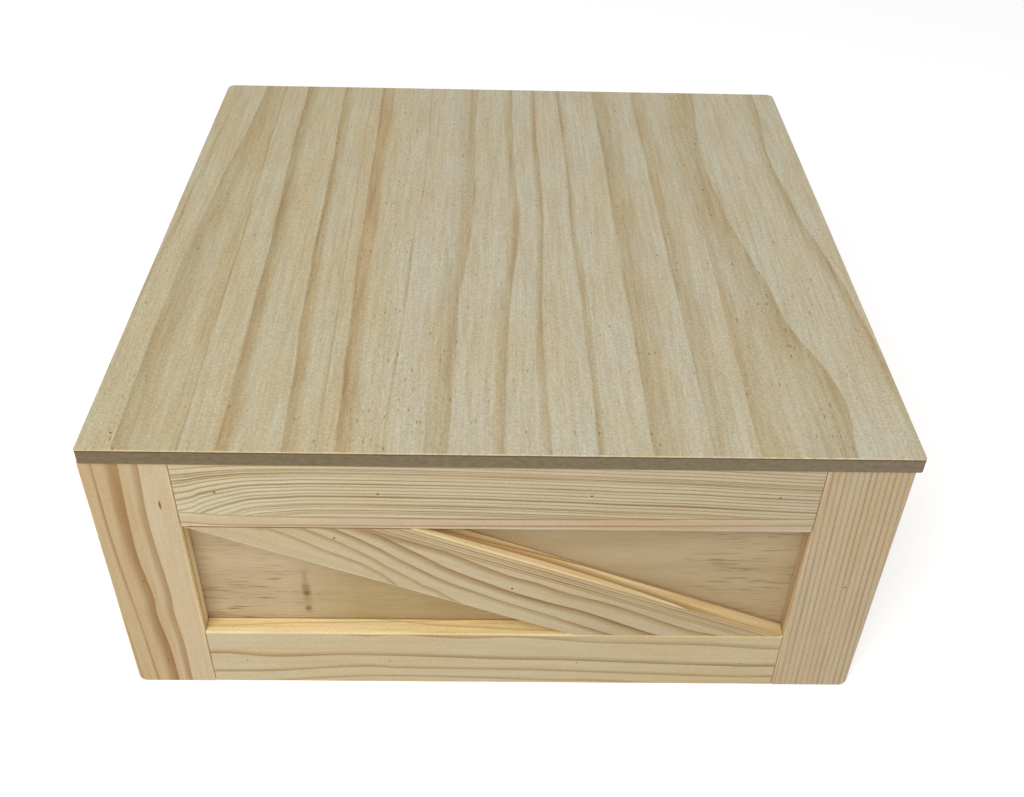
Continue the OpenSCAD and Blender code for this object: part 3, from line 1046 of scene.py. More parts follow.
def cut(piece: Object, cutter: Object) -> None:
    """Take one object out of another, and remove the first.

    Args:
        piece: the object that is cut.
        cutter: the object that is taken out of it.
    """
    modifier = piece.modifiers.new("cut", "BOOLEAN")
    modifier.object = cutter
    modifier.solver = "EXACT"
    whole = piece.data
    graph = bpy.context.evaluated_depsgraph_get()
    piece.data = bpy.data.meshes.new_from_object(piece.evaluated_get(graph))
    piece.data.name = whole.name
    piece.modifiers.clear()
    bpy.data.objects.remove(cutter)
    bpy.data.meshes.remove(whole)


def head_centres(node: str, outward: Vector3, spacing: float) -> np.ndarray:
    """Find where the heads of a group of fasteners are: the points that lie furthest outward, in clusters.

    Args:
        node: the group's node.
        outward: the direction that the heads face.
        spacing: a length that is wider than a head and smaller than the gap between two heads, in metres.

    Returns:
        The middle of each head, to a hundredth of a millimetre.
    """
    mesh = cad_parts[node].data
    points = np.empty(len(mesh.vertices) * 3, np.float32)
    mesh.vertices.foreach_get("co", points)
    points = points.reshape(-1, 3).astype(float)
    heights = points @ np.array(outward)
    unevenness = 0.02 * MM
    rims = points[heights > heights.max() - unevenness]
    near = np.linalg.norm(rims[:, None] - rims[None, :], axis=-1) < spacing
    lowest = np.where(near[..., None], rims[None, :], np.inf).min(axis=1)
    highest = np.where(near[..., None], rims[None, :], -np.inf).max(axis=1)
    return np.unique(np.round((lowest + highest) / 2, 5), axis=0)


@dataclass
class Bar:
    """A straight bar with rounded long edges and eased ends. Lengths are in metres.

    Along the bar, ring after ring: each is a rectangle whose corners are arcs, with a radius that varies by
    up to wear, as hand sanding leaves it. The first and last rings draw in by a quarter circle, which eases
    the ends. A bar with a slant has its rings slide along by slant times the place across, which cuts its
    ends at an angle. Worn corners are quarter circles in the plane of the face at the bar's far end, on its
    side of larger and on its side of smaller places across.
    """

    half_length: float
    half_width: float
    half_thickness: float
    edge_radii: tuple[float, float, float, float]
    start_ease: float
    end_ease: float
    wear: float = 0.12 * MM
    slant: float = 0.0
    worn_corners: Pair = (0.0, 0.0)
    step: float = 8 * MM
    arc_steps: int = 4

    # The waves of the wear along an edge: their length, shift from edge to edge in radians, and share.
    WEAR_WAVES = ((37 * MM, 1.7, 0.6), (13 * MM, 2.9, 0.4))
    # How far the rings of a worn corner are from the end, as shares of its radius.
    CORNER_RINGS = (1.0, 0.75, 0.54, 0.37, 0.24)

    def approach(self) -> np.ndarray:
        """The places of the rings that round the worn corners, up to the eased end."""
        gaps = max(self.worn_corners) * np.array(self.CORNER_RINGS)
        return self.half_length - gaps[gaps > self.end_ease]

    def stations(self) -> tuple[np.ndarray, np.ndarray]:
        """Place the rings along the bar.

        Returns:
            The rings' places along the bar, and how far each is drawn in.
        """
        angle = np.linspace(0, QUARTER_TURN, self.arc_steps)
        start = -self.half_length + self.start_ease * (1 - np.cos(angle))
        end = self.half_length - self.end_ease * (1 - np.cos(angle[::-1]))
        far = np.concatenate([self.approach(), end])
        count = max(2, round((far[0] - start[-1]) / self.step) + 1)
        between = np.linspace(start[-1], far[0], count)[1:-1]
        level = np.zeros(len(between) + len(far) - len(end))
        drawn_in = np.concatenate([
            self.start_ease * (1 - np.sin(angle)), level, self.end_ease * (1 - np.sin(angle[::-1]))
        ])
        return np.concatenate([start, between, far]), drawn_in

    def rings(self) -> np.ndarray:
        """Work out the bar's points: corner middle plus radius times the direction on the corner's arc.

        Returns:
            Points along, across and outward, by ring and point.
        """
        places, drawn_in = self.stations()
        corner = np.arange(4)
        signs = np.array([(1, 1), (-1, 1), (-1, -1), (1, -1)])
        waves = sum(
            share * np.sin(FULL_TURN * places[:, None] / length + shift * corner)
            for length, shift, share in self.WEAR_WAVES
        )
        radius = np.array(self.edge_radii) + self.wear * waves
        worn = np.array(self.worn_corners)[[0, 1, 1, 0]]
        short = np.clip(worn - (self.half_length - places[:, None]), 0, worn)
        width = self.half_width - worn + np.sqrt(worn ** 2 - short ** 2)
        half = np.stack([width, np.full_like(width, self.half_thickness)], axis=-1)
        middle = signs[None] * (half - radius[..., None])
        angle = corner[:, None] * QUARTER_TURN + np.linspace(0, QUARTER_TURN, self.arc_steps + 1)
        direction = np.stack([np.cos(angle), np.sin(angle)], axis=-1)
        reach = (radius - drawn_in[:, None])[..., None, None]
        section = (middle[:, :, None] + reach * direction[None]).reshape(len(places), -1, 2)
        along = places[:, None] + self.slant * section[..., 0]
        return np.concatenate([along[..., None], section], axis=-1)

    def smooth(self, rings: int) -> np.ndarray:
        """Tell which faces are on a rounded edge, an eased end or a worn corner.

        Args:
            rings: how many rings the bar has.

        Returns:
            A mark for each face, in the order of skin.
        """
        ring = np.arange(rings - 1)[:, None]
        point = np.arange(4 * (self.arc_steps + 1))[None, :]
        on_arc = point % (self.arc_steps + 1) < self.arc_steps
        on_end = (ring < self.arc_steps - 1) | (ring >= rings - self.arc_steps)
        on_side = point // (self.arc_steps + 1) % 2 == 1
        on_worn = on_side & (ring >= rings - self.arc_steps - len(self.approach()))
        return np.concatenate([(on_arc | on_end | on_worn).ravel(), [False, False]])

    def build(self, name: str, lay: Lay) -> Object:
        """Make the bar.

        Args:
            name: the object's name.
            lay: how the bar lies.

        Returns:
            The object.
        """
        rings = self.rings()
        return make_piece(name, lay.place(rings)[None], self.smooth(len(rings)))


@dataclass
class Drill:
    """A tool that leaves round holes whose rim is crushed a little, as a punched brad leaves it. In metres.

    The radius is even up to rim_depth, grows by flare up to the mouth, and by half as much again over it.
    """

    radius: float
    depth: float
    rim_depth: float = 0.35 * MM
    flare: float = 0.06 * MM
    over: float = 0.4 * MM
    segments: int = 20

    def build(self, lay: Lay, middles: np.ndarray) -> Object:
        """Make the tool at each place.

        Args:
            lay: how the surface lies.
            middles: the middles of the mouths, along, across and outward.

        Returns:
            One object with a closed skin for each hole.
        """
        outward = np.array([-self.depth, -self.rim_depth, 0.0, self.over])
        radii = self.radius + np.array([0.0, 0.0, self.flare, 1.5 * self.flare])
        shape = turned(radii[:, None], outward[:, None], self.segments)
        return make_piece("drill", lay.copies(shape, middles))


@dataclass
class Screw:
    """A countersunk wood screw with a cross recess. Lengths are in metres.

    Its radius by depth falls from the rim of the head along a cone to the shank. On the thread the radius
    also rises to a crest once a turn, where the depth less the turn is a whole number of pitches, and it runs
    out to a point at the tip. The head's last rings, by depth and share of the cone's radius, ease its rim.
    """

    head_radius: float = 1.9 * MM
    head_depth: float = 1.0 * MM
    rim: Track = ((0.12 * MM, 1.0), (0.03 * MM, 0.99), (0.0, 0.93))
    shank_radius: float = 0.9 * MM
    length: float = 10 * MM
    pitch: float = 0.9 * MM
    thread_start: float = 1.6 * MM
    thread_height: float = 0.22 * MM
    tip_length: float = 2.25 * MM
    tip_share: float = 0.05
    recess_half_length: float = 1.15 * MM
    recess_half_width: float = 0.3 * MM
    recess_heights: Pair = (-0.9 * MM, 0.3 * MM)
    recess_sizes: Pair = (0.45, 1.1)
    segments: int = 28
    rows: int = 70

    def rings(self) -> np.ndarray:
        """Work out the screw's points, from its tip to the top of its head.

        Returns:
            Points along, across and outward, by ring and point.
        """
        rim_depth, rim_share = np.array(self.rim).T
        depth = np.concatenate([np.linspace(self.length, self.head_depth, self.rows), rim_depth])[:, None]
        eased = np.concatenate([np.ones(self.rows), rim_share])[:, None]
        turn = np.mod(depth / self.pitch - np.arange(self.segments) / self.segments, 1.0)
        crest = 1 - np.abs(2 * turn - 1)
        core = self.shank_radius - self.thread_height
        taper = np.clip((self.length - depth) / self.tip_length, self.tip_share, 1)
        threaded = np.clip((depth - self.thread_start) / self.pitch, 0, 1)
        shank = (core + self.thread_height * (1 - threaded + threaded * crest)) * taper
        slope = np.clip(1 - depth / self.head_depth, 0, 1)
        head = self.shank_radius + slope * (self.head_radius - self.shank_radius)
        return turned(np.where(depth < self.head_depth, head * eased, shank), -depth, self.segments)

    def recess(self) -> np.ndarray:
        """Work out the tool that cuts the recess: a plus sign, carried inward and made smaller.

        Returns:
            Points along, across and outward, by ring and point.
        """
        arm, half = self.recess_half_length, self.recess_half_width
        quarter = np.array([(arm, -half), (arm, half), (half, half)])
        turns = np.array([[(1, 0), (0, 1)], [(0, 1), (-1, 0)], [(-1, 0), (0, -1)], [(0, -1), (1, 0)]])
        outline = np.concatenate([quarter @ turn for turn in turns])
        section = outline[None] * np.array(self.recess_sizes)[:, None, None]
        outward = np.broadcast_to(np.array(self.recess_heights)[:, None, None], (2, len(outline), 1))
        return np.concatenate([section, outward], axis=-1)

    def build(self, name: str, lay: Lay, middles: np.ndarray) -> Object:
        """Make a group of screws.

        Args:
            name: the object's name.
            lay: how the surface lies that the heads are in.
            middles: the middles of the heads, along, across and outward.

        Returns:
            One object with all the screws.
        """
        rings = self.rings()
        faces = (len(rings) - 1) * self.segments + 2
        smooth = np.arange(faces) < faces - len(self.rim) * self.segments
        screws = make_piece(name, lay.copies(rings, middles), smooth)
        cut(screws, make_piece("recess", lay.copies(self.recess(), middles)))
        return screws


def lay_of(node: str, along: Vector3, outward: Vector3) -> tuple[Lay, np.ndarray]:
    """Read how a node of the frame lies.

    Args:
        node: the node's name.
        along: the direction of its length.
        outward: the direction of its outer face.

    Returns:
        Its lay, and its half sizes along, across and outward in metres.
    """
    low, high = (np.array(corner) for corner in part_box(node))
    lay = Lay(tuple(((low + high) / 2).tolist()), along, outward)
    return lay, np.abs((high - low) / 2 @ lay.axes())


def board_of(node: str, along: Vector3, outward: Vector3) -> Board:
    """Read a node of the frame as a board.

    Args:
        node: the node's name.
        along: the direction of its grain.
        outward: the direction of its outer face.

    Returns:
        The board.
    """
    lay, halves = lay_of(node, along, outward)
    return Board(lay, *(halves / MM).tolist())


def install(piece: Object, material: Material, node: str, body: str) -> None:
    """Dress a new piece and put it in the place of its node.

    Args:
        piece: the new piece.
        material: its material.
        node: the node that it stands for.
        body: the body that it moves with.
    """
    piece.data.materials.clear()
    piece.data.materials.append(material)
    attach(piece, body)
    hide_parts(node)
    log.info("%s: %d faces, on %s", piece.name, len(piece.data.polygons), body)


def dress(node: str, material: Material) -> None:
    """Give a node of the frame its material.

    Args:
        node: the node's name.
        material: its material.
    """
    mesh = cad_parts[node].data
    mesh.materials.clear()
    mesh.materials.append(material)
    log.info("%s: the frame's solid, %s", node, material.name)


TOP_RAIL_BORDER = ((-118, 8.8), (-66, 9.6), (-38, 10.1), (0, 10.4), (87, 10.3), (106, 9.5), (119, 8.3))
TOP_RAIL = Pine(
    pale="#d2c7a8", warm="#b8a580", dark="#86704d",
    tints=((9.8, WHITE), (10.6, "#faeeea"), (14.2, "#faeeea"), (15.0, WHITE)),
    # Painted shade: darker towards the right end, where less light falls.
    painted_shade_along=((-118, "#efeced"), (0, "#f7f6f8"), (90, WHITE)),
    lines=tuple(GrowthLine.level(*line) for line in (
        (-13.2, 0.55, 0.65), (-11.6, 0.55, 0.7), (-6.8, 0.65, 0.9), (-0.7, 0.65, 0.85), (3.7, 0.6, 0.8),
        (7.4, 0.55, 0.7),
    )),
    straight_lines=(
        GrowthLine(TOP_RAIL_BORDER, 0.9, 0.8),
        GrowthLine(((-117, 12.3), (-66, 13.3), (-38, 13.7), (43, 14.5), (104, 14.7), (119, 13.4)), 0.9, 0.7),
    ),
    fine_spacing=1.7, fine_depth=1.0,
    fan=Fan(
        drift=((-117, 6.0), (-78, 3.8), (-38, 2.3), (0, 0.8), (43, 0.0), (118, 0.0)), pivot=-19.0,
        share=((60, 0.0), (76, 0.03), (94, 0.13), (109, 0.33), (118, 0.43)), border=TOP_RAIL_BORDER,
    ),
    arris_highlight=0.6, joint_shade=0.9, waver=0.15, seed=1,
)
BOTTOM_RAIL = Pine(
    pale="#cabb99", warm="#b7a279", dark="#92754a", edge="#f0deae", edge_warm="#e1c78b",
    # Painted shade: darker towards the right end, where less light falls.
    painted_shade_along=((-80, "#f9f8f6"), (80, WHITE)),
    lines=(
        GrowthLine(((-118, -7.4), (-90, -9.7), (-38, -11.3), (-8, -14.3), (12, -13.3), (40, -15.3),
                    (55, -14.4), (84, -20.0)), 3.2, 0.65),
        GrowthLine(((-117, 3.7), (-98, 3.5), (-38, 0.8), (0, -0.1), (60, -2.1), (92, -0.6), (110, -2.5)),
                   3.0, 0.85),
        GrowthLine(((-117, 10.8), (-95, 10.8), (-35, 8.0), (42, 6.4), (57, 5.7), (90, 8.8), (117, 9.5)),
                   2.2, 0.8),
        GrowthLine(((-80, 17.0), (-45, 14.4), (-18, 13.9), (22, 12.4), (62, 12.7), (105, 17.0)), 1.8, 0.7),
    ),
    edge_lines=(
        GrowthLine(((-20, 9.0), (25, 6.6), (68, 5.4), (88, 4.8), (117, 3.0)), -1.4, 0.7),
        GrowthLine(((-40, 1.5), (0, 3.0), (30, 5.0), (60, 8.5)), -2.2, 0.7),
    ),
    arris_highlight=0.9, joint_shade=0.9, waver=0.15, seed=2,
)
LEFT_STILE = Pine(
    pale="#cdbb9a", warm="#b49a73", dark="#967344", edge="#f8e8bc", edge_warm="#e1c792",
    tints=((0, "#f4ecdd"), (6, WHITE)),
    lines=(
        GrowthLine(((-60, 5.5), (-32, 4.5), (7, 6.0), (19, 5.5), (37, 6.5), (61, 6.2)), 3.2, 0.75, core=0.5),
        GrowthLine(((-60, -1.5), (-36, -2.5), (-13, -2.8), (9, -1.0), (20, -1.4), (38, 0.2), (61, 0.6)),
                   5.2, 0.88, core=0.5),
        GrowthLine(((-60, -10.7), (-20, -10.8), (14, -9.5), (61, -7.8)), 1.2, 0.65),
        GrowthLine(((0, -18.0), (17, -15.8), (61, -14.0)), 1.2, 0.5),
    ),
    edge_lines=(GrowthLine(((-60, 1.7), (0, 2.0), (60, 2.2)), -2.2, 0.7, core=0.6),),
    smudges=(Smudge(-41.8, 10.3, 3.0, 0.55, 1.5), Smudge(48.5, -1.6, 0.9, 0.7, 1.5)),
    arris_highlight=0.7, joint_shade=0.5, waver=0.2, seed=3,
)
RIGHT_STILE = Pine(
    pale="#c2b092", warm="#ad9878", dark="#8c7454", edge="#dfcda8", edge_warm="#c0a77f",
    fine_spacing=2.3, fine_depth=0.8, fine_lean=-0.033,
    edge_lines=(GrowthLine(((-60, 2.2), (0, 3.4), (60, 4.2)), -6.5, 0.65, core=0.7, rise=1.5),),
    arris_highlight=0.6, joint_shade=0.5, waver=0.25, seed=4,
)
BRACE = Pine(
    pale="#c7b796", warm="#b19a70", dark="#8c6b43", edge="#f1e2b4", edge_warm="#dcbd88",
    # Painted shade: darker towards the lower right end, where less light falls.
    painted_shade_along=((0, WHITE), (60, "#f4f4f3")),
    lines=(
        GrowthLine.level(15.4, 0.7, 0.45),
        GrowthLine.level(13.9, 0.9, 0.8),
        GrowthLine.level(12.6, 0.7, 0.45),
        GrowthLine.level(11.2, 0.9, 0.85),
        GrowthLine.level(10.0, 0.8, 0.6),
        GrowthLine(((-62, 8.9), (-46, 7.0), (-25, 2.1), (0, -1.1), (21, -1.8), (39, -1.3), (68, -2.9)),
                   4.0, 0.9),
        GrowthLine(((-26, 9.6), (0, 6.7), (14, 6.8), (28, 6.1), (46, 6.9), (83, 5.2), (93, 6.4)), 3.4, 0.85),
        GrowthLine(((-69, 5.0), (-46, 0.4), (-25, -5.0), (0, -7.9), (29, -8.9), (51, -9.9)), 2.8, 0.85),
        GrowthLine(((-79, 0.9), (-50, -4.6), (-29, -10.7), (-18, -13.4), (5, -19.0)), 2.6, 0.7),
        GrowthLine(((-94, -5.7), (-90, -4.3), (-71, -7.1), (-51, -9.6), (-40, -13.5), (-26, -20.0)),
                   2.2, 0.65),
    ),
    edge_lines=(
        GrowthLine(((-40, 2.0), (0, 2.8), (20, 2.9), (40, 2.3), (65, 0.9), (95, -1.0)),
                   -3.4, 0.85, core=0.55),
        GrowthLine(((-40, 3.2), (-10, 4.4), (30, 6.6)), -2.4, 0.95),
    ),
    arris_highlight=1.0, joint_shade=0.9, waver=0.15, seed=5,
)
LID_TOP = Pine(
    pale="#c9c3ab", warm="#baac8b", dark="#947e57", edge="#d6c9a9", edge_warm="#cbb993", blush="#fff7ec",
    tints=((-75, "#fdf9f0"), (-65, "#fdf8ee"), (-60, "#fdf3e4"), (-53, "#fefbf3"), (-40, WHITE)),
    lines=tuple(GrowthLine.through(*line) for line in (
        ((-143.9, -145.9, -147.9, -153.0, -158.0), -2.5, 0.36),
        ((-129.2, -132.6, -137.4, -138.4, -137.4), -14.0, 0.5),
        ((-118.6, -117.9, -116.4, -115.7, -114.9), -0.7, 0.6),
        ((-118.6, -117.9, -116.4, -115.7, -114.9), 10.0, 0.22),
        ((-105.9, -105.7, -104.6, -102.8, -102.1, -101.7, -100.9), -7.0, 0.68),
        ((-85.9, -83.9, -82.9, -80.9, -77.9), -5.0, 0.64),
        ((-70.9, -69.9, -68.9, -67.4, -66.4), -0.7, 0.36),
        ((-65.6, -64.0, -63.6, -63.3, -62.1, -60.6, -58.9), -7.0, 0.55),
        ((-59.4, -59.6, -58.7, -57.4, -58.2, -57.1, -53.9), 4.0, 0.4),
        ((-38.4, -37.9, -37.4, -39.4, -40.4, -41.4, -42.9), 1.0, 0.32),
        ((-12.9, -14.4, -13.4, -14.1, -18.0, -18.9, -19.9), 12.0, 0.43),
        ((5.6, 5.1, 6.1, 7.1, 3.1, 1.1, 0.1), 5.0, 0.5),
        ((17.6, 17.1, 18.1, 18.1, 16.1, 15.6, 17.1), 3.0, 0.54),
        ((30.4, 31.1, 32.1, 31.6, 33.1, 33.6, 34.6), -3.0, 0.54),
        ((50.1, 51.1, 52.1, 52.8, 53.6), -14.0, 0.47),
        ((71.1, 72.1, 73.1, 74.4, 75.1), -11.0, 0.43),
        ((91.1, 91.7, 91.7), -15.0, 0.36),
        ((105.6, 102.6, 100.6, 102.6, 106.1, 112.6, 117.6, 127.9, 125.6), 22.0, 0.47),
        ((115.1, 113.6, 113.0), 0.8, 0.22),
        ((138.6, 137.6, 134.6, 136.6, 140.6, 145.6, 148.6, 152.0, 155.0), 6.0, 0.5),
    )),
    smudges=(Smudge(141.0, -139.7, 0.75, 0.6, 1.6),),
    waver=0.45, waver_length=30.0, mottle=0.3, pores=1.0, pore_share=0.09,
    pore_bands=((-45, 7, 0.6), (-48, 12, 0.2), (-20, 30, 0.12), (111, 26, 0.15)),
    fuzz=0.09, speckle=0.07, speckle_scale=0.85, painted_seat_shadow=0.0, seed=6,
)
FRONT_PANEL = Plywood(
    tints=((-85, WHITE), (-55, "#e5e1c7"), (-10, "#e9e6d4"), (30, "#eeefe9")),
    dash_share=((-118, 0.95), (-85, 0.8), (-68, 0.4), (0, 0.1), (70, 0.05), (92, 0.8), (118, 0.8)),
    smudges=(
        Smudge(-76.5, -14.0, 2.6, 16.0, 0.22),
        Smudge(-76.5, -5.0, 0.5, 3.6, 0.25),
        Smudge(-76.5, -13.0, 2.4, 4.6, 0.3),
        Smudge(-76.5, -15.5, 2.2, 1.8, 0.35),
        Smudge(-76.5, -24.5, 1.9, 2.2, 0.55),
        Smudge(-80.5, -14.6, 2.6, 0.4, 0.45),
        Smudge(-72.0, -16.0, 2.4, 0.4, 0.4),
        Smudge(-79.5, -21.5, 2.4, 0.4, 0.3),
    ),
    seed=7,
)


@dataclass
class StripFrame:
    """The pine strips on one side: stiles, rails and, on the front, a brace. Lengths are in metres."""

    side: Side
    outer_radius: float = 1.0 * MM
    worn_radius: float = 2.8 * MM
    edge_radius: float = 0.75 * MM
    end_ease: float = 0.4 * MM
    joint_gap: float = 0.06 * MM
    brace_width: float = 33 * MM
    hole_radius: float = 0.45 * MM
    plugged_radius: float = 0.35 * MM
    hole_depth: float = 1.4 * MM
    hole_spacing: float = 3 * MM
    # How dark and how wide the marks at the brad holes are: painted shade in each hole and a stain round its
    # mouth; plugged holes get lighter marks.
    stain: float = 1.6
    plugged_shadow_and_stain: float = 0.5
    stain_radius: float = 0.6 * MM

    def cuts(self) -> dict[str, Pine]:
        """Name the side's boards, each with its cut of pine."""
        if self.side is Side.FRONT:
            return {"left_stile": LEFT_STILE, "right_stile": RIGHT_STILE, "top_rail": TOP_RAIL,
                    "bottom_rail": BOTTOM_RAIL, "brace": BRACE}
        ends = ("left", "right") if self.side is Side.BACK else ("front", "back")
        parts = [f"{ends[0]}_stile", f"{ends[1]}_stile", "top_rail", "bottom_rail"]
        first = 10 * (list(Side).index(self.side) + 1)
        return {part: Pine.sawn(first + number) for number, part in enumerate(parts)}

    def strip(self, part: str) -> tuple[Lay, Bar]:
        """Work out one board.

        Args:
            part: the board's name on its side.

        Returns:
            How it lies, and its shape.
        """
        upright = part.endswith("stile")
        along = DOWN if upright else self.side.leftward
        lay, (length, width, thickness) = lay_of(f"{self.side.label}_{part}", along, self.side.value)
        bar = Bar(length, width, thickness, (self.edge_radius,) * 4, self.end_ease, self.end_ease)
        if part == "brace":
            return self.slanted(lay, bar)
        if not upright:
            return lay, replace(bar, half_length=length - self.joint_gap)
        if self.side in (Side.FRONT, Side.BACK):
            outer = 0 if lay.axes()[:, 1] @ np.array(lay.middle) > 0 else 1
            radii = [self.edge_radius] * 4
            radii[outer] = self.outer_radius
            worn = (self.worn_radius, 0.0) if outer == 0 else (0.0, self.worn_radius)
            bar = replace(bar, edge_radii=tuple(radii), worn_corners=worn)
        return lay, bar

    def slanted(self, lay: Lay, bar: Bar) -> tuple[Lay, Bar]:
        """Turn the bar that fills the opening into the brace, whose ends lie on the rails.

        The angle is that of the opening's diagonal plus the one that the brace's width spans at its corners.

        Args:
            lay: how the opening lies.
            bar: a bar that fills the opening.

        Returns:
            How the brace lies, and its shape.
        """
        half = self.brace_width / 2
        diagonal = math.hypot(bar.half_length, bar.half_width)
        angle = math.atan2(bar.half_width, bar.half_length) + math.asin(half / diagonal)
        along = math.cos(angle) * np.array(self.side.rightward) + math.sin(angle) * np.array(DOWN)
        length = bar.half_width / math.sin(angle) - self.joint_gap
        brace = replace(bar, half_length=length, half_width=half, slant=1 / math.tan(angle))
        return replace(lay, along=tuple(along.tolist())), brace

    def drilled(self, lay: Lay, bar: Bar) -> np.ndarray:
        """Find the mouths of the brad holes on one board.

        Args:
            lay: how the board lies.
            bar: its shape.

        Returns:
            The middles of the mouths, along, across and outward.
        """
        heads = lay.read(head_centres(f"{self.side.label}_frame_pins", self.side.value, self.hole_spacing))
        beside = np.abs(heads[:, 1]) < bar.half_width
        between = np.abs(heads[:, 0] - bar.slant * heads[:, 1]) < bar.half_length
        mouths = heads[beside & between]
        mouths[:, 2] = bar.half_thickness
        return mouths

    def shaded_and_stained(self, pine: Pine, mouths: np.ndarray, stain: float) -> Pine:
        """Add dark marks at the brad holes to a cut of pine: painted shade in each hole and a stain round it.

        Args:
            pine: the cut of pine.
            mouths: the middles of the holes' mouths.
            stain: how dark the marks are.

        Returns:
            The cut with its painted hole shade and stains.
        """
        size = self.stain_radius / MM
        places = (mouths / MM).tolist()
        shadows_and_stains = tuple(Smudge(along, across, size, size, stain) for along, across, _ in places)
        return replace(pine, smudges=pine.smudges + shadows_and_stains)

    def build(self) -> None:
        """Build and dress every board of the side."""
        for part, pine in self.cuts().items():
            node = f"{self.side.label}_{part}"
            lay, bar = self.strip(part)
            piece = bar.build(f"pine_{node}", lay)
            mouths = self.drilled(lay, bar)
            plugged = part == "bottom_rail"
            radius = self.plugged_radius if plugged else self.hole_radius
            stain = self.plugged_shadow_and_stain if plugged else self.stain
            if len(mouths):
                cut(piece, Drill(radius, self.hole_depth).build(lay, mouths))
            if node == "back_top_rail":
                Hinges().mortise(piece)
            board = Board(lay, bar.half_length / MM, bar.half_width / MM, bar.half_thickness / MM, bar.slant)
            wood = self.shaded_and_stained(pine, mouths, stain).material(f"planed pine, {node}", board)
            install(piece, wood, node, "box")


@dataclass
class Carcass:
    """The plywood walls and bottom inside the strips, and the brads of the box."""

    brads: Metal = Metal("#8d877c", "#5c564e", (0.34, 0.56))

    def dress_sheet(self, label: str, ply: Plywood, grain: Vector3, outward: Vector3) -> None:
        """Dress a wall or the bottom in plywood with a grain and an outer face of the given directions."""
        board = board_of(f"{label}_panel", grain, outward)
        dress(f"{label}_panel", ply.material(f"sanded pine plywood, {label}", board))

    def build(self) -> None:
        """Dress the walls, the bottom and the brads."""
        for number, side in enumerate(Side):
            ply = FRONT_PANEL if side is Side.FRONT else Plywood(seed=20 + number)
            self.dress_sheet(side.label, ply, side.rightward, side.value)
        self.dress_sheet("bottom", Plywood(seed=31), Side.FRONT.rightward, UP)
        steel = self.brads.material("drawn steel wire", UP, Side.FRONT.value)
        for group in [f"{side.label}_frame_pins" for side in Side] + ["corner_pins", "bottom_pins"]:
            dress(group, steel)


@dataclass
class Lid:
    """The lid: a fibreboard core between two pine veneers. Lengths are in metres."""

    front_radius: float = 1.0 * MM
    back_radius: float = 3.5 * MM
    face_ease: float = 0.22 * MM
    glued_ease: float = 0.03 * MM
    arc_steps: int = 6

    def layer(self, node: str, start_ease: float, end_ease: float) -> Object:
        """Make one layer of the lid, as a bar that stands upright.

        Args:
            node: the layer's node.
            start_ease: how far its lower rim is eased.
            end_ease: how far its upper rim is eased.

        Returns:
            The layer.
        """
        lay, (height, width, depth) = lay_of(node, UP, Side.BACK.value)
        radii = (self.back_radius, self.back_radius, self.front_radius, self.front_radius)
        bar = Bar(height, width, depth, radii, start_ease, end_ease, wear=0.0, arc_steps=self.arc_steps)
        return bar.build(f"wood_{node}", lay)

    def build(self) -> None:
        """Build and dress the three layers."""
        core = self.layer("lid_core", self.glued_ease, self.glued_ease)
        board = board_of("lid_core", Side.FRONT.rightward, UP)
        install(core, Fibreboard().material("sawn fibreboard", board), "lid_core", "lid")
        # The lower veneer's edges are painted dark: painted shade under the lid's overhang, in place of a
        # pale rim.
        lower = replace(LID_TOP, edge="#8a795d", edge_warm="#7d6c50", seed=40, smudges=())
        for node, pine, outward, eases in (
            ("lid_top_veneer", LID_TOP, UP, (self.glued_ease, self.face_ease)),
            ("lid_bottom_veneer", lower, DOWN, (self.face_ease, self.glued_ease)),
        ):
            veneer = self.layer(node, *eases)
            wood = pine.material(f"sliced pine veneer, {node}", board_of(node, Side.FRONT.value, outward))
            install(veneer, wood, node, "lid")


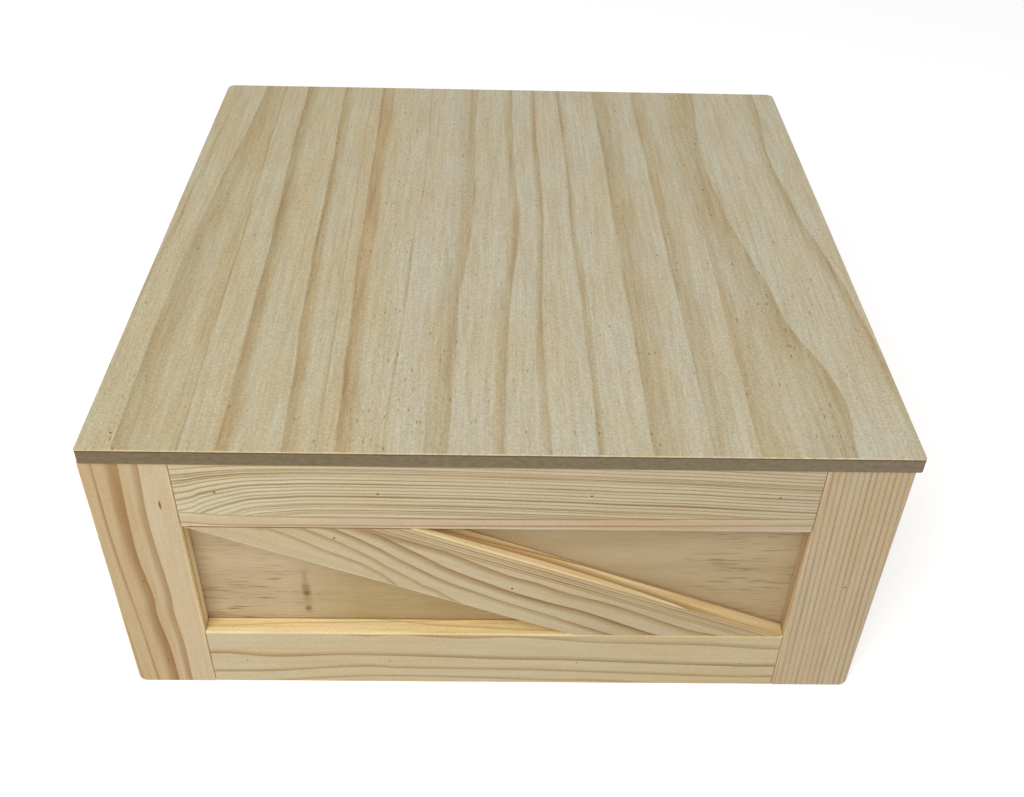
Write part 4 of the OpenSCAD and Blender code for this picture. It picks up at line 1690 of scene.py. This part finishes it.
@dataclass
class Hinges:
    """Two brass butt hinges at the back, with their screws. Lengths are in metres."""

    brass: Metal = Metal("#d3b061", "#a5813c", (0.22, 0.44))
    leaf_thickness: float = 1 * MM
    clearance: float = 0.2 * MM
    room_half_height: float = 2 * MM
    room_radius: float = 0.1 * MM
    room_ease: float = 0.05 * MM
    head_spacing: float = 6 * MM
    weld: float = 0.002 * MM
    bevel: float = 0.15 * MM
    bevel_segments: int = 2
    bevel_angle: float = math.radians(40)

    def mortise(self, rail: Object) -> None:
        """Cut the places of the hinges into the rail that carries them.

        Args:
            rail: the top rail of the back.
        """
        heads = head_centres("hinge_body_screws", UP, self.head_spacing)
        seat = heads[0, 2] - self.leaf_thickness
        for end in ("left", "right"):
            leaf, (width, depth, _) = lay_of(f"{end}_hinge_fixed_leaf", Side.FRONT.rightward, UP)
            lay = replace(leaf, middle=(*leaf.middle[:2], seat + self.room_half_height))
            room = Bar(width + self.clearance, depth, self.room_half_height, (self.room_radius,) * 4,
                       self.room_ease, self.room_ease, wear=0.0)
            cut(rail, room.build("mortise", lay))

    def smoothed(self, node: str) -> None:
        """Join a solid's faces at their points and ease its edges.

        Args:
            node: the solid's node.
        """
        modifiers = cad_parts[node].modifiers
        modifiers.new("weld", "WELD").merge_threshold = self.weld
        bevel = modifiers.new("bevel", "BEVEL")
        bevel.width = self.bevel
        bevel.segments = self.bevel_segments
        bevel.limit_method = "ANGLE"
        bevel.angle_limit = self.bevel_angle

    def build(self) -> None:
        """Dress the leaves and pins, and build the screws."""
        right = Side.FRONT.rightward
        rolled = self.brass.material("rolled brass", right, UP)
        for end in ("left", "right"):
            for part in ("fixed_leaf", "moving_leaf", "pin"):
                dress(f"{end}_hinge_{part}", rolled)
                self.smoothed(f"{end}_hinge_{part}")
        lathed = self.brass.material("turned brass", right, UP)
        for node, outward, body in (("hinge_body_screws", UP, "box"), ("hinge_lid_screws", DOWN, "lid")):
            low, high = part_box(node)
            facing = Lay((0, 0, 0), right, outward)
            middles = facing.read(head_centres(node, outward, self.head_spacing))
            screws = Screw(length=high[2] - low[2]).build(f"brass_{node}", facing, middles)
            install(screws, lathed, node, body)


@dataclass
class Studio:
    """The floor, the light and the camera. Lengths are in metres, and angles in radians."""

    camera_place: Vector3 = (-0.00446, -0.44740, 0.40189)
    yaw: float = -0.0275
    pitch: float = 0.6891
    roll: float = 0.0298
    focal_length_mm: float = 40.066
    sensor_width_mm: float = 36.0
    floor_size: float = 8.0
    floor_gap: float = 0.2 * MM
    floor_colour: str = "#ececec"
    floor_glow: float = 0.45
    sky_strength: float = 0.42
    lamp_place: Vector3 = (-0.5, -1.2, 1.5)
    lamp_size: float = 1.2
    lamp_power: float = 24.2

    def background_rays(self, shader: Shader) -> Node:
        """Add the nodes that tell rays which see the background from those that light the object.

        Args:
            shader: a material or the world in the making.

        Returns:
            The node whose output is 1 for camera, glossy and transmission rays.
        """
        rays = shader.add(Kind.RAYS).outputs
        seen = shader.add(Kind.LARGER, rays["Is Camera Ray"], rays["Is Glossy Ray"])
        return shader.add(Kind.LARGER, seen, rays["Is Transmission Ray"])

    def build_floor(self) -> None:
        """Lay the floor: a pale matt sheet that glows for the camera up to white and keeps the shadow."""
        half = self.floor_size / 2
        corners = np.array([(-half, -half), (half, -half), (half, half), (-half, half)])
        heights = np.full((4, 1), -self.floor_gap)
        mesh = bpy.data.meshes.new("floor")
        mesh.from_pydata(np.hstack([corners, heights]).tolist(), [], [[0, 1, 2, 3]])
        floor = bpy.data.objects.new("floor", mesh)
        bpy.context.scene.collection.objects.link(floor)
        shader = Shader(bpy.data.materials.new("matt studio paper"))
        paper = shader.add(Kind.DIFFUSE, self.floor_colour)
        strength = shader.add(Kind.TIMES, self.background_rays(shader), self.floor_glow)
        glow = shader.add(Kind.EMISSION, WHITE, strength)
        shader.add(Kind.MATERIAL, shader.add(Kind.BOTH, paper, glow))
        mesh.materials.append(shader.owner)

    def build_light(self) -> None:
        """Set the even sky, which is white to the camera, and one large soft lamp."""
        world = Shader(bpy.data.worlds.new("studio"))
        bpy.context.scene.world = world.owner
        sky = world.add(Kind.BACKGROUND, WHITE, self.sky_strength)
        white = world.add(Kind.BACKGROUND, WHITE, 1.0)
        world.add(Kind.WORLD, world.add(Kind.EITHER, self.background_rays(world), sky, white))
        lamp = bpy.data.lights.new("softbox", "AREA")
        lamp.size = self.lamp_size
        lamp.energy = self.lamp_power
        softbox = bpy.data.objects.new("softbox", lamp)
        back = np.array(self.lamp_place) / np.linalg.norm(self.lamp_place)
        right = np.cross(UP, back) / np.linalg.norm(np.cross(UP, back))
        self.set_pose(softbox, self.lamp_place, right, np.cross(back, right), back)

    def set_pose(self, thing: Object, place: Vector3, right: np.ndarray, up: np.ndarray,
                 back: np.ndarray) -> None:
        """Put a lamp or camera in the scene.

        Args:
            thing: the lamp or camera.
            place: where it is.
            right: the direction of its right.
            up: the direction of its top.
            back: the direction away from what it looks at.
        """
        turn = Matrix(np.column_stack([right, up, back]).tolist()).to_4x4()
        thing.matrix_world = Matrix.Translation(place) @ turn
        bpy.context.scene.collection.objects.link(thing)

    def build_camera(self) -> None:
        """Set the camera: it looks down by pitch, to the side by yaw, and is tilted by roll."""
        lens = bpy.data.cameras.new("camera")
        lens.lens = self.focal_length_mm
        lens.sensor_width = self.sensor_width_mm
        lens.sensor_fit = "HORIZONTAL"
        camera = bpy.data.objects.new("camera", lens)
        level_right = np.array([math.cos(self.yaw), math.sin(self.yaw), 0])
        level_on = np.array([-math.sin(self.yaw), math.cos(self.yaw), 0])
        onward = level_on * math.cos(self.pitch) + np.array(DOWN) * math.sin(self.pitch)
        level_up = level_on * math.sin(self.pitch) + np.array(UP) * math.cos(self.pitch)
        right = level_right * math.cos(self.roll) + level_up * math.sin(self.roll)
        up = level_up * math.cos(self.roll) - level_right * math.sin(self.roll)
        self.set_pose(camera, self.camera_place, right, up, -onward)
        bpy.context.scene.camera = camera

    def build(self) -> None:
        """Set the stage."""
        bpy.context.scene.view_settings.view_transform = "Standard"
        self.build_floor()
        self.build_light()
        self.build_camera()


def main() -> None:
    """Build the box piece by piece."""
    logging.basicConfig(level=logging.INFO, format="%(name)s: %(message)s")
    Studio().build()
    Carcass().build()
    for side in Side:
        StripFrame(side).build()
    Lid().build()
    Hinges().build()


if __name__ == "__main__":
    main()
